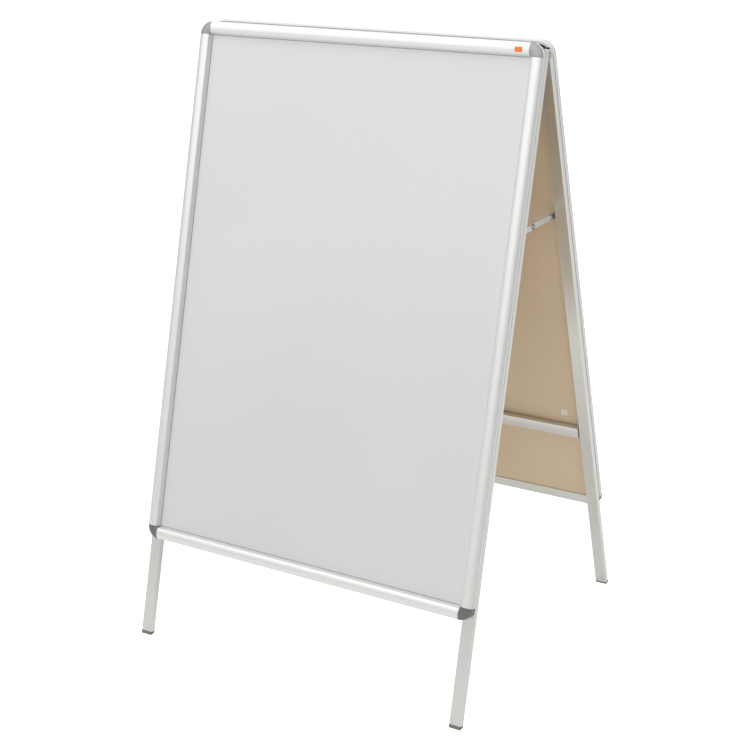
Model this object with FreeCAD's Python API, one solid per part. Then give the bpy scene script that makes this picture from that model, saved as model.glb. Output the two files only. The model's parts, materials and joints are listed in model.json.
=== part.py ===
"""A folding sandwich board: two snap-frame poster panels on legs, hinged at the top and held open by stays.

Units are millimetres. The row frame has +Z up, +X to the right and the front panel facing -Y, with its origin
on the floor under the middle of the board.

Each panel is built hanging upright in a panel frame: X to the right, Z up with the hinge axis at Z = 0, and the
poster facing -Y. Words used for places on a panel: "down" is the distance below the hinge axis along the panel,
and "out" is the distance from the fold's middle plane towards the poster's face. Across a frame member,
"inset" is the distance inwards from the frame's outer edge.
"""
import FreeCAD
import Part
import math
import os

V = FreeCAD.Vector

# ---- driving dimensions: the poster and the frame round it ----
poster_width = 594.0
poster_height = 841.0
frame_margin = 15.0            # from the poster's edge to the frame's outer edge
frame_width = poster_width + 2 * frame_margin
frame_height = poster_height + 2 * frame_margin
frame_rise = 14.7              # the frame's top edge above the hinge axis

# ---- the stand ----
hinge_height = 989.2           # hinge axis above the floor when the board stands open
lean = 15.23                   # each panel's lean from upright, in degrees
leg_width = 20.5
leg_depth = 10.24
leg_wall = 1.2
leg_edge_radius = 1.0
leg_gap = 0.86                 # inner face of a leg to the fold's middle plane
leg_inset = 0.2                # leg's outer side in from the frame's outer side
leg_rise = 7.5                 # leg's top above the hinge axis
foot_tread = 3.3               # foot cap's height at the leg's inner face
foot_plug = 18.0
foot_plug_clearance = 0.1
cross_bar_down = 684.6         # cross bar's top edge below the hinge axis
cross_bar_height = 19.6
cross_bar_gap = 2.4            # each end of the bar to the leg beside it
cross_bar_plug = 16.0
plug_flange_step = 1.0         # plug's flange in from the bar's outside

# ---- snap frame section ----
base_wall = 1.3
outer_wall = 1.2
back_flange = 19.7
flange_tip_width = 3.0         # thinned edge of the back flange, which leaves a fine slot behind the board
flange_tip_wall = 0.5
seam_depth = 3.0               # shadow groove between the frame's outer wall and the leg
hinge_inset = 2.4              # cover's pivot line in from the outer edge
hinge_out = 10.6               # cover's pivot line out from the frame's back
bead_radius = 1.2
bead_clearance = 0.2
nose_radius = 2.4              # rounded outer edge of the cover, centred on its pivot
sweep_clearance = 0.3          # between the turning nose and the base
neck_height = 1.2
neck_lift = 0.12                # neck's middle above the pivot line
post_wall = 1.3
web_inset = 12.9
web_wall = 1.2
web_height = 3.7
cover_width = 21.25
cover_wall = 1.2
crown_inset = 10.2
crown_out = 15.9               # top of the cover's dome out from the frame's back
shoulder_inset = 18.3
shoulder_out = 13.4
lip_knee_rise = 1.7            # where the lip flares, above its foot
lip_flare = 0.7
lip_clearance = 0.3            # lip's foot above the clear sheet
cover_end_gap = 0.3
nose_start = 240.0             # nose's lower end, in degrees round the pivot
nose_end = 120.0               # where the nose runs into the dome
hook_end = 40.0                # hook's inner end round the bead
corner_key = 28.0
key_clearance = 0.2
corner_centre_drop = 3.6       # cap's top at its inner corner, below the shoulder

# ---- what the frame holds ----
board_thickness = 3.0
poster_thickness = 0.3
sheet_thickness = 0.7
board_oversize = 0.5           # board and sheet past the poster, on each edge
pocket_clearance = 0.2
spring_length = 46.0
spring_width = 5.0
spring_thickness = 0.5
spring_bow = 2.6
spring_lift = 0.05
springs_across = 2
springs_down = 3

# ---- rivets that hold the legs to the frame ----
rivet_radius = 2.0
rivet_clearance = 0.05
rivet_head_radius = 2.8
rivet_head_height = 1.0
leg_rivet_rows = 4
leg_rivet_margin = 62.0        # first and last rivet in from the frame's top and bottom edges

# ---- hinge at the top of the legs ----
knuckle_radius = 6.2
knuckle_clearance = 0.3
ear_width = 4.2
ear_gap = 0.35
ear_recess = 0.2               # outer ear's face in from the leg's outer side
pin_radius = 2.5
pin_clearance = 0.05
pin_head_radius = 4.0
pin_head_height = 1.6
pin_head_recess = 0.7
head_pocket_clearance = 0.6
pin_tail_radius = 3.4
pin_tail_height = 1.0
insert_length = 38.0
insert_clearance = 0.15
insert_drop = 2.5              # insert's top below the hinge axis
fold_gap = 0.4                 # leg tops to the middle plane when open

# ---- folding stays ----
stay_down = 274.5              # leg pivots below the hinge axis
stay_height = 8.8
stay_thickness = 1.5
stay_spacing = 0.4             # between the two links' faces
stay_offset = 2.4              # front link's face to the leg's inner side
stay_groove_width = 3.4
stay_groove_depth = 0.4
stay_groove_margin = 11.0      # groove's end to the nearest pivot
stay_pivot_head = 3.4
stay_spacer_radius = 5.4
stay_head_height = 1.0
stay_side_gap = 0.1
knee_head_radius = 4.0
knee_head_height = 1.8

# ---- how pieces are cut ----
overshoot = 1.0                # how far a cutting block runs past the surface it opens
cut_size = 40.0                # height of the blocks that trim at the floor and at the middle plane

# ---- worked out from the dimensions above ----
tilt = math.radians(lean)
half_width = frame_width / 2
frame_top = -frame_rise
frame_bottom = frame_top + frame_height
frame_back = leg_gap + leg_depth
leg_outer_side = half_width - leg_inset
leg_inner_side = leg_outer_side - leg_width
board_out = frame_back + base_wall
poster_out = board_out + board_thickness
sheet_out = poster_out + poster_thickness
lip_out = sheet_out + sheet_thickness + lip_clearance
pivot_out = frame_back + hinge_out
stay_out = leg_gap + leg_depth / 2
stay_length = stay_down * math.sin(tilt) + stay_out * math.cos(tilt)
stay_level = hinge_height - stay_down * math.cos(tilt) + stay_out * math.sin(tilt)
channel_inset = hinge_inset + nose_radius + sweep_clearance + post_wall
channel_middle = (channel_inset + web_inset) / 2


def panel_point(across, down, out):
    """A point in the panel frame from its place across, down and out."""
    return V(across, -out, -down)


def panel_placement(panel):
    """Placement that leans an upright panel and lifts it onto its legs: panel is "front" or "rear"."""
    to_height = FreeCAD.Placement(V(0, 0, hinge_height), FreeCAD.Rotation())
    if panel == "front":
        return to_height.multiply(FreeCAD.Placement(V(), FreeCAD.Rotation(V(1, 0, 0), -lean)))
    leaning = FreeCAD.Placement(V(), FreeCAD.Rotation(V(1, 0, 0), lean))
    turned = FreeCAD.Placement(V(), FreeCAD.Rotation(V(0, 0, 1), 180))
    return to_height.multiply(leaning).multiply(turned)


def side_placement(side, length):
    """Placement of a member drawn as (inset, out, along), centred along one side of the frame."""
    rows = {
        "top": (V(0, 0, -1), V(-1, 0, 0), V(length / 2, 0, -frame_top)),
        "bottom": (V(0, 0, 1), V(1, 0, 0), V(-length / 2, 0, -frame_bottom)),
        "left": (V(1, 0, 0), V(0, 0, -1), V(-half_width, 0, -(frame_top + frame_bottom) / 2 + length / 2)),
        "right": (V(-1, 0, 0), V(0, 0, 1), V(half_width, 0, -(frame_top + frame_bottom) / 2 - length / 2)),
    }
    inwards, along, start = rows[side]
    outwards = V(0, -1, 0)
    matrix = FreeCAD.Matrix(
        inwards.x, outwards.x, along.x, start.x,
        inwards.y, outwards.y, along.y, start.y,
        inwards.z, outwards.z, along.z, start.z,
        0, 0, 0, 1)
    return FreeCAD.Placement(matrix)


def member_length(side):
    """Length of a frame member between its two corner pieces."""
    full = frame_width if side in ("top", "bottom") else frame_height
    return full - 2 * cover_width


def box(across, down, out):
    """A block in the panel frame from (low, high) ranges across, down and out."""
    corner = panel_point(across[0], down[1], out[1])
    return Part.makeBox(across[1] - across[0], out[1] - out[0], down[1] - down[0], corner)


def rod(radius, across, down, out):
    """A round bar along X in the panel frame, with across as a (low, high) range."""
    return Part.makeCylinder(radius, across[1] - across[0], panel_point(across[0], down, out), V(1, 0, 0))


def stud(radius, across, down, out):
    """A round bar along the panel's normal, with out as a (low, high) range."""
    return Part.makeCylinder(radius, out[1] - out[0], panel_point(across, down, out[0]), V(0, -1, 0))


def rounded_bar(across, down, out, radius):
    """A block whose edges that run down the panel are rounded."""
    block = box(across, down, out)
    edges = [e for e in block.Edges if abs(abs(e.tangentAt(e.FirstParameter).z) - 1) < 1e-6]
    return block.makeFillet(radius, edges)


def round_pivot(angle, radius):
    """Point at an angle in degrees and a radius round the cover's pivot, as (inset, out) on the section."""
    turn = math.radians(angle)
    return V(hinge_inset + radius * math.cos(turn), pivot_out + radius * math.sin(turn), 0)


def arc(start, middle, end):
    """Arc edge through three points."""
    return Part.Arc(start, middle, end).toShape()


def path(*points):
    """Straight edges through the points."""
    return [Part.makeLine(a, b) for a, b in zip(points, points[1:])]


def section_solid(edges, length):
    """Solid with this closed section, drawn as (inset, out), and this length along."""
    wire = Part.Wire(Part.__sortEdges__(edges))
    return Part.Face(wire).extrude(V(0, 0, length))


def dome():
    """Outer arc of the cover: (centre, radius) on the section, through nose, crown and shoulder."""
    ends = (round_pivot(nose_end, nose_radius), V(shoulder_inset, frame_back + shoulder_out, 0))
    crown = V(crown_inset, frame_back + crown_out, 0)
    circle = arc(ends[0], crown, ends[1]).Curve
    return circle.Center, circle.Radius


def dome_point(inset, depth=0.0):
    """Point of the dome at an inset, or of the surface a depth under it."""
    centre, radius = dome()
    radius -= depth
    return V(inset, centre.y + math.sqrt(radius ** 2 - (inset - centre.x) ** 2), 0)


def cover_solid(length):
    """Snap cover: a hook round the base's bead, a shallow dome, and a lip that presses on the clear sheet."""
    bore = bead_radius + bead_clearance
    nose = [round_pivot(a, nose_radius) for a in (nose_start, (nose_start + nose_end) / 2, nose_end)]
    hook = [round_pivot(a, bore) for a in (hook_end, (hook_end + nose_start) / 2, nose_start)]
    shoulder = dome_point(shoulder_inset)
    knee = V(cover_width - lip_flare, lip_out + lip_knee_rise, 0)
    foot = V(cover_width, lip_out, 0)
    inner_foot = foot - V(cover_wall, 0, 0)
    inner_knee = knee - V(cover_wall, 0, 0)
    under_shoulder = dome_point(shoulder_inset - cover_wall, cover_wall)
    hook_root = round_pivot(hook_end, nose_radius)
    under_crown = dome_point(crown_inset, cover_wall)
    under_nose = dome_point(hook_root.x, cover_wall)
    edges = [arc(*nose), arc(nose[2], dome_point(crown_inset), shoulder)]
    edges += path(shoulder, knee, foot, inner_foot, inner_knee, under_shoulder)
    edges += [arc(under_shoulder, under_crown, under_nose)]
    edges += path(under_nose, hook_root, hook[0])
    edges += [arc(*hook)]
    edges += path(hook[2], nose[0])
    return section_solid(edges, length)


def strip(inset, out, length):
    """Rectangular bar on the section from (low, high) ranges of inset and out."""
    return Part.makeBox(inset[1] - inset[0], out[1] - out[0], length, V(inset[0], out[0], 0))


def base_solid(length):
    """Base profile: back wall and flange, outer wall, web beside the board, and a post that carries the bead."""
    swept = nose_radius + sweep_clearance
    wall_top = pivot_out - math.sqrt(swept ** 2 - (hinge_inset - outer_wall) ** 2)
    post = (hinge_inset + swept, hinge_inset + swept + post_wall)
    tip_start = back_flange - flange_tip_width
    neck = (pivot_out + neck_lift - neck_height / 2, pivot_out + neck_lift + neck_height / 2)
    bead = Part.makeCylinder(bead_radius, length, V(hinge_inset, pivot_out, 0))
    pieces = [
        strip((0, outer_wall), (board_out, wall_top), length),
        strip((0, post[1]), (board_out, board_out + base_wall), length),
        strip((tip_start, back_flange), (frame_back, frame_back + flange_tip_wall), length),
        strip(post, (board_out, neck[1]), length),
        strip((hinge_inset, post[1]), neck, length),
        strip((web_inset, web_inset + web_wall), (frame_back, board_out + web_height), length),
        bead,
    ]
    back = strip((seam_depth, tip_start), (frame_back, board_out), length)
    return back.multiFuse(pieces).removeSplitter()


def rivet_rows():
    """Places down the panel of the rivets that hold each leg."""
    first = frame_top + leg_rivet_margin
    step = (frame_height - 2 * leg_rivet_margin) / (leg_rivet_rows - 1)
    return [first + step * i for i in range(leg_rivet_rows)]


def rivet_holes():
    """Clearance holes through both legs and the frame's back, for the leg rivets."""
    across = half_width - channel_middle
    out = (frame_back - leg_wall - overshoot, board_out + overshoot)
    return [stud(rivet_radius + rivet_clearance, side * across, down, out)
            for side in (-1, 1) for down in rivet_rows()]


def leg_rivets():
    """Rivets with one head inside the leg and the other in the frame's channel."""
    across = half_width - channel_middle
    inner = frame_back - leg_wall
    solids = []
    for side in (-1, 1):
        for down in rivet_rows():
            shank = stud(rivet_radius, side * across, down, (inner, board_out))
            heads = [
                stud(rivet_head_radius, side * across, down, (inner - rivet_head_height, inner)),
                stud(rivet_head_radius, side * across, down, (board_out, board_out + rivet_head_height)),
            ]
            solids.append(shank.multiFuse(heads).removeSplitter())
    return solids


def frame_members(make_solid, end_gap):
    """The four sides of a frame, each {side: solid} in the panel frame."""
    members = {}
    for side in ("top", "bottom", "left", "right"):
        length = member_length(side) - 2 * end_gap
        solid = make_solid(length)
        solid.Placement = side_placement(side, length)
        members[side] = solid
    return members


def corner_solid():
    """Corner piece of the top right corner, centred on its own inner corner, with a key for each profile."""
    nose = [round_pivot(a, nose_radius) for a in (180, (180 + nose_end) / 2, nose_end)]
    shoulder = dome_point(shoulder_inset)
    middle_out = shoulder.y - corner_centre_drop
    edges = [arc(*nose), arc(nose[2], dome_point(crown_inset), shoulder)]
    edges += path(shoulder, V(cover_width, middle_out, 0), V(cover_width, frame_back, 0),
                  V(seam_depth, frame_back, 0), V(seam_depth, board_out, 0), V(0, board_out, 0), nose[0])
    face = Part.Face(Part.Wire(Part.__sortEdges__(edges)))
    face.rotate(V(), V(0, 0, 1), 180)
    face.translate(V(cover_width, 0, 0))
    cap = face.revolve(V(), V(0, 1, 0), -90)
    key_low = cover_width - web_inset + key_clearance
    key_high = cover_width - channel_inset - key_clearance
    key_out = (board_out + key_clearance, board_out + web_height)
    keys = [
        Part.makeBox(corner_key + overshoot, key_out[1] - key_out[0], key_high - key_low,
                     V(-corner_key, -key_out[1], key_low)),
        Part.makeBox(key_high - key_low, key_out[1] - key_out[0], corner_key + overshoot,
                     V(key_low, -key_out[1], -corner_key)),
    ]
    reach = cover_width - frame_margin + board_oversize + pocket_clearance
    pocket_top = sheet_out + sheet_thickness + pocket_clearance
    pocket = Part.makeBox(reach + overshoot, pocket_top - board_out, reach + overshoot,
                          V(-overshoot, -pocket_top, -overshoot))
    return cap.multiFuse(keys).cut(pocket)


def corner_pieces():
    """The four corner pieces of a frame, {corner: solid}."""
    pieces = {}
    turns = {"top_right": 0, "top_left": 1, "bottom_left": 2, "bottom_right": 3}
    for corner, quarter in turns.items():
        solid = corner_solid()
        solid.rotate(V(), V(0, -1, 0), 90 * quarter)
        across = (half_width - cover_width) * (1 if "right" in corner else -1)
        down = frame_top + cover_width if "top" in corner else frame_bottom - cover_width
        solid.translate(panel_point(across, down, 0))
        pieces[corner] = solid
    return pieces


def layer(oversize, out, thickness):
    """A flat sheet behind the covers, the poster's size plus an oversize on each edge."""
    across = poster_width / 2 + oversize
    down = (frame_top + frame_margin - oversize, frame_bottom - frame_margin + oversize)
    return box((-across, across), down, (out, out + thickness))


def spring_solid():
    """One bowed leaf spring, drawn as (inset, out, along) and centred along."""
    low = board_out + spring_lift
    half = spring_length / 2
    bottom = arc(V(0, low, -half), V(0, low + spring_bow, 0), V(0, low, half))
    top = arc(V(0, low + spring_thickness, -half), V(0, low + spring_bow + spring_thickness, 0),
              V(0, low + spring_thickness, half))
    ends = path(V(0, low, -half), V(0, low + spring_thickness, -half))
    ends += path(V(0, low, half), V(0, low + spring_thickness, half))
    face = Part.Face(Part.Wire(Part.__sortEdges__([bottom, top] + ends)))
    leaf = face.extrude(V(spring_width, 0, 0))
    leaf.translate(V(channel_middle - spring_width / 2, 0, 0))
    return leaf


def cover_springs():
    """Leaf springs in the channels of all four sides, between the leg rivets."""
    leaves = []
    for side in ("top", "bottom", "left", "right"):
        count = springs_across if side in ("top", "bottom") else springs_down
        length = member_length(side)
        for i in range(count):
            leaf = spring_solid()
            leaf.translate(V(0, 0, length * (i + 0.5) / count))
            leaf.Placement = side_placement(side, length).multiply(leaf.Placement)
            leaves.append(leaf)
    return leaves


def floor_cut():
    """Everything under the floor, in the front panel's own frame."""
    slab = Part.makeBox(2 * frame_width, 2 * hinge_height, cut_size, V(-frame_width, -hinge_height, -cut_size))
    slab.Placement = panel_placement("front").inverse().multiply(slab.Placement)
    return slab


def foot_line():
    """Where the legs are cut square, as a distance down the panel."""
    floor_down = (hinge_height + leg_gap * math.sin(tilt)) / math.cos(tilt)
    return floor_down - foot_tread


def middle_cut():
    """Everything past the fold's middle plane when the board stands open, less the fold gap."""
    low = hinge_height - cut_size / 2
    slab = Part.makeBox(2 * frame_width, cut_size, cut_size, V(-frame_width, -fold_gap, low))
    slab.Placement = panel_placement("front").inverse().multiply(slab.Placement)
    return slab


def leg_solid():
    """Right leg: a rounded rectangular tube, open at the top and notched round the hinge knuckles."""
    across = (leg_inner_side, leg_outer_side)
    down = (-leg_rise, foot_line())
    out = (leg_gap, frame_back)
    tube = rounded_bar(across, down, out, leg_edge_radius)
    inside = box((across[0] + leg_wall, across[1] - leg_wall), (down[0] - overshoot, down[1] + overshoot),
                 (out[0] + leg_wall, out[1] - leg_wall))
    clear = knuckle_radius + knuckle_clearance
    cuts = [
        inside,
        middle_cut(),
        rod(clear, (across[0] - overshoot, across[1] + overshoot), 0, 0),
        box((across[0] + leg_wall, across[1] - leg_wall), (down[0] - overshoot, clear),
            (out[0] - overshoot, out[0] + leg_wall)),
        rod(rivet_radius + rivet_clearance, (across[0] - overshoot, across[0] + leg_wall + overshoot),
            stay_down, stay_out),
    ]
    for cut in cuts:
        tube = tube.cut(cut)
    for hole in rivet_holes():
        tube = tube.cut(hole)
    return tube


def foot_solid():
    """Right foot cap: a wedge that stands flat on the floor, with a plug inside the leg."""
    end = foot_line()
    across = (leg_inner_side, leg_outer_side)
    tread = rounded_bar(across, (end, end + leg_depth), (leg_gap, frame_back), leg_edge_radius)
    wall = leg_wall + foot_plug_clearance
    plug = box((across[0] + wall, across[1] - wall), (end - foot_plug, end + overshoot),
               (leg_gap + wall, frame_back - wall))
    return tread.cut(floor_cut()).fuse(plug).removeSplitter()


def cross_bar_solid():
    """Cross bar: a rectangular tube between the legs."""
    reach = leg_inner_side - cross_bar_gap
    down = (cross_bar_down, cross_bar_down + cross_bar_height)
    outside = box((-reach, reach), down, (leg_gap, frame_back))
    inside = box((-reach - overshoot, reach + overshoot), (down[0] + leg_wall, down[1] - leg_wall),
                 (leg_gap + leg_wall, frame_back - leg_wall))
    return outside.cut(inside)


def cross_bar_plugs():
    """Moulded plugs that join the cross bar's ends to the legs."""
    wall = leg_wall + foot_plug_clearance
    reach = leg_inner_side - cross_bar_gap
    down = (cross_bar_down, cross_bar_down + cross_bar_height)
    plugs = []
    for side in (-1, 1):
        flange_ends = sorted((side * reach, side * leg_inner_side))
        plug_ends = sorted((side * (reach - cross_bar_plug), side * (reach + cross_bar_gap / 2)))
        flange = box(flange_ends, (down[0] + plug_flange_step, down[1] - plug_flange_step),
                     (leg_gap + plug_flange_step, frame_back - plug_flange_step))
        plug = box(plug_ends, (down[0] + wall, down[1] - wall), (leg_gap + wall, frame_back - wall))
        plugs.append(flange.fuse(plug).removeSplitter())
    return plugs


def ear_spans():
    """Where the hinge's ears lie across the right leg: (inner, middle, outer) ranges."""
    low = leg_inner_side + ear_recess
    high = leg_outer_side - ear_recess
    inner = (low, low + ear_width)
    outer = (high - ear_width, high)
    return inner, (inner[1] + ear_gap, outer[0] - ear_gap), outer


def hinge_insert(panel):
    """Right hinge insert: a block inside the leg with ears round the hinge axis."""
    inner, middle, outer = ear_spans()
    own, other = ([inner, outer], [middle]) if panel == "front" else ([middle], [inner, outer])
    wall = leg_wall + insert_clearance
    clear = knuckle_radius + knuckle_clearance
    block = box((leg_inner_side + wall, leg_outer_side - wall), (insert_drop, insert_length),
                (leg_gap + wall, frame_back - wall))
    ears = [rod(knuckle_radius, span, 0, 0) for span in own]
    notches = [rod(clear, (span[0] - ear_gap, span[1] + ear_gap), 0, 0) for span in other]
    for notch in notches:
        block = block.cut(notch)
    insert = block.multiFuse(ears)
    insert = insert.cut(rod(pin_radius + pin_clearance, (inner[0] - overshoot, outer[1] + overshoot), 0, 0))
    if panel == "front":
        pocket_depth = pin_head_recess + pin_head_height + pin_clearance
        pocket = rod(pin_head_radius + head_pocket_clearance, (outer[1] - pocket_depth, outer[1] + overshoot), 0, 0)
        insert = insert.cut(pocket)
    return insert.removeSplitter()


def hinge_pin():
    """Right hinge pin: head sunk in the outer ear, shank through all ears, tail closed on the inner ear."""
    inner, _, outer = ear_spans()
    head = outer[1] - pin_head_recess - pin_head_height
    tail = inner[0] - pin_clearance
    shank = rod(pin_radius, (tail - pin_tail_height, head + pin_head_height), 0, 0)
    ends = [
        rod(pin_head_radius, (head, head + pin_head_height), 0, 0),
        rod(pin_tail_radius, (tail - pin_tail_height, tail), 0, 0),
    ]
    return shank.multiFuse(ends).removeSplitter()


def stay_span(panel):
    """Where a link lies across the right side, as a (low, high) range."""
    high = leg_inner_side - stay_offset
    if panel == "rear":
        high -= stay_thickness + stay_spacing
    return high - stay_thickness, high


def stay_link(panel, side):
    """One link in the row frame: a round-ended bar with a pressed groove and a hole at each end."""
    low, high = sorted(side * x for x in stay_span(panel))
    half = stay_height / 2
    bar = Part.makeBox(high - low, stay_length, stay_height, V(low, 0, -half))
    ends = [Part.makeCylinder(half, high - low, V(low, y, 0), V(1, 0, 0)) for y in (0, stay_length)]
    link = bar.multiFuse(ends).removeSplitter()
    groove_face = high - stay_groove_depth if side > 0 else low
    groove = Part.makeBox(stay_groove_depth, stay_length - 2 * stay_groove_margin, stay_groove_width,
                          V(groove_face, stay_groove_margin, -stay_groove_width / 2))
    hole = rivet_radius + rivet_clearance
    holes = [Part.makeCylinder(hole, high - low + 2 * overshoot, V(low - overshoot, y, 0), V(1, 0, 0))
             for y in (0, stay_length)]
    link = link.cut(groove).cut(holes[0]).cut(holes[1])
    link.translate(V(0, 0 if panel == "rear" else -stay_length, stay_level))
    return link


def stay_pivots(panel):
    """Rivets that carry a panel's two links: a head inside the leg, a spacer, a shank and an outer head."""
    low, high = stay_span(panel)
    head_low = low - stay_side_gap - stay_head_height
    inside = leg_inner_side + leg_wall
    solids = []
    for side in (-1, 1):
        parts = [
            (rivet_radius, (head_low, inside + stay_head_height)),
            (stay_pivot_head, (head_low, low - stay_side_gap)),
            (stay_spacer_radius, (high + stay_side_gap, leg_inner_side)),
            (stay_pivot_head, (inside, inside + stay_head_height)),
        ]
        rods = [rod(r, sorted(side * x for x in span), stay_down, stay_out) for r, span in parts]
        solids.append(rods[0].multiFuse(rods[1:]).removeSplitter())
    return solids


def knee_rivet(side):
    """Middle rivet in the row frame: a domed head on the front link, with its shank in that link only."""
    low, high = stay_span("front")
    shank = Part.makeCylinder(rivet_radius, stay_thickness, V(low, 0, stay_level), V(1, 0, 0))
    ball_radius = (knee_head_radius ** 2 + knee_head_height ** 2) / (2 * knee_head_height)
    ball = Part.makeSphere(ball_radius, V(high + knee_head_height - ball_radius, 0, stay_level))
    beyond = Part.makeBox(knee_head_height + overshoot, 2 * ball_radius, 2 * ball_radius,
                          V(high, -ball_radius, stay_level - ball_radius))
    rivet = shank.fuse(ball.common(beyond)).removeSplitter()
    if side < 0:
        rivet.rotate(V(0, 0, stay_level), V(0, 0, 1), 180)
    return rivet


def mirrored(shape):
    """The same piece for the other side of the board."""
    return shape.mirror(V(), V(1, 0, 0))


def world_side(panel, side):
    """Name of a side as seen from the front of the board."""
    if panel == "front" or side not in ("left", "right"):
        return side
    return "right" if side == "left" else "left"


def build_panel(panel):
    """All nodes of one panel in the panel frame, {node name: shape}."""
    nodes = {}
    bases = frame_members(base_solid, 0)
    holes = rivet_holes()
    for side, solid in bases.items():
        if side in ("left", "right"):
            solid = solid.cut(Part.makeCompound(holes))
        nodes[f"{panel}_base_{world_side(panel, side)}"] = solid
    for side, solid in frame_members(cover_solid, cover_end_gap).items():
        nodes[f"{panel}_cover_{world_side(panel, side)}"] = solid
    for corner, solid in corner_pieces().items():
        level, side = corner.split("_")
        nodes[f"{panel}_corner_{level}_{world_side(panel, side)}"] = solid
    nodes[f"{panel}_backing_board"] = layer(board_oversize, board_out, board_thickness)
    nodes[f"{panel}_poster"] = layer(0, poster_out, poster_thickness)
    nodes[f"{panel}_clear_sheet"] = layer(board_oversize, sheet_out, sheet_thickness)
    paired = {"leg": leg_solid(), "foot": foot_solid(), "hinge_insert": hinge_insert(panel)}
    for name, solid in paired.items():
        nodes[f"{panel}_{name}_{world_side(panel, 'right')}"] = solid
        nodes[f"{panel}_{name}_{world_side(panel, 'left')}"] = mirrored(solid)
    nodes[f"{panel}_cross_bar"] = cross_bar_solid()
    nodes[f"{panel}_cross_bar_plugs"] = Part.makeCompound(cross_bar_plugs())
    nodes[f"{panel}_cover_springs"] = Part.makeCompound(cover_springs())
    nodes[f"{panel}_leg_rivets"] = Part.makeCompound(leg_rivets())
    nodes[f"{panel}_stay_pivots"] = Part.makeCompound(stay_pivots(panel))
    return nodes


def build_shared():
    """Nodes built straight in the row frame: hinge pins, stay links and their middle rivets."""
    nodes = {}
    for name, side in (("left", -1), ("right", 1)):
        pin = hinge_pin()
        pin.translate(V(0, 0, hinge_height))
        nodes[f"hinge_pin_{name}"] = pin if side > 0 else mirrored(pin)
        nodes[f"knee_rivet_{name}"] = knee_rivet(side)
        for panel in ("front", "rear"):
            nodes[f"{panel}_stay_{name}"] = stay_link(panel, side)
    return nodes


def build():
    """Every node of the board in the row frame."""
    nodes = build_shared()
    for panel in ("front", "rear"):
        placement = panel_placement(panel)
        for name, shape in build_panel(panel).items():
            placed = shape.copy()
            placed.Placement = placement.multiply(placed.Placement)
            nodes[name] = placed
    return nodes


os.makedirs("parts", exist_ok=True)
for node, shape in build().items():
    shape.exportStep(f"parts/{node}.step")
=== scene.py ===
"""Looks of a folding sandwich board: two snap-frame poster panels on legs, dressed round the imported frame.

Lengths are in metres. On a panel, "across" runs to the right as one faces its poster, "down" is the
distance below the hinge axis, and "out" is the distance from the fold's middle plane towards the poster's
face. Across a frame member, "inset" is the distance inwards from the frame's outer edge.
"""
from __future__ import annotations

import json
import logging
import math
from dataclasses import dataclass, field
from enum import Enum
from typing import Iterable, Sequence

import bmesh
import bpy
from mathutils import Matrix, Vector

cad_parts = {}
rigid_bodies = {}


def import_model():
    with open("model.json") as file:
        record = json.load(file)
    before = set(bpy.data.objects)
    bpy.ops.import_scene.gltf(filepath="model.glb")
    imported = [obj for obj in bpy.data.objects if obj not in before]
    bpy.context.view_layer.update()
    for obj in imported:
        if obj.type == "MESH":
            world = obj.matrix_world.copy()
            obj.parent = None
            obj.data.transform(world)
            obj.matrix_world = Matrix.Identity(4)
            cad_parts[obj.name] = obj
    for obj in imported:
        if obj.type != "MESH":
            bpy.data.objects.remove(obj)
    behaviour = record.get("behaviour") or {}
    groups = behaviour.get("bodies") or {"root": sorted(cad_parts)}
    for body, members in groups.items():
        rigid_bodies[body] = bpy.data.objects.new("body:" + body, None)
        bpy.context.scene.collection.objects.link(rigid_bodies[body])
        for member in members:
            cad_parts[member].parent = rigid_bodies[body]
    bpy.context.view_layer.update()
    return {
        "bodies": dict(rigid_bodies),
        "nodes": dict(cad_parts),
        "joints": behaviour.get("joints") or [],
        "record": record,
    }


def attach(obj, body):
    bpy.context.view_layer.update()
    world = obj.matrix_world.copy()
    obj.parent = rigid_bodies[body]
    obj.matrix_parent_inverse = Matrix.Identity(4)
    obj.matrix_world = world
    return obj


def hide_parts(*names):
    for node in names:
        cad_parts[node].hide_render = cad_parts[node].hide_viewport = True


LOG = logging.getLogger("sandwich_board")
MM = 0.001
WELD = 0.000001
SHARP_EDGE = 35.0
Color = tuple[float, float, float, float]
Point = tuple[float, float]


class Panel(Enum):
    """One of the board's two leaning panels."""

    FRONT = "front"
    REAR = "rear"

    @property
    def body(self) -> str:
        """Name of the moving body that the panel's fixed pieces ride on."""
        return f"{self.value}_panel"


class Side(Enum):
    """A side of a panel's frame, as one faces its poster."""

    TOP = "top"
    BOTTOM = "bottom"
    LEFT = "left"
    RIGHT = "right"

    def seen_from_front(self, panel: Panel) -> str:
        """Name of this side as seen from the front of the whole board.

        Args:
            panel: The panel that the side belongs to.

        Returns:
            The side's name in the names of nodes and bodies.
        """
        swapped = {Side.LEFT: "right", Side.RIGHT: "left"}
        return swapped.get(self, self.value) if panel is Panel.REAR else self.value


class Grain(Enum):
    """Which way a drawn or extruded metal's fine lines run."""

    ACROSS = "across"
    DOWN_FRONT = "down_front"
    DOWN_REAR = "down_rear"


# ---- shader groups -----------------------------------------------------------------------------------------


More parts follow.
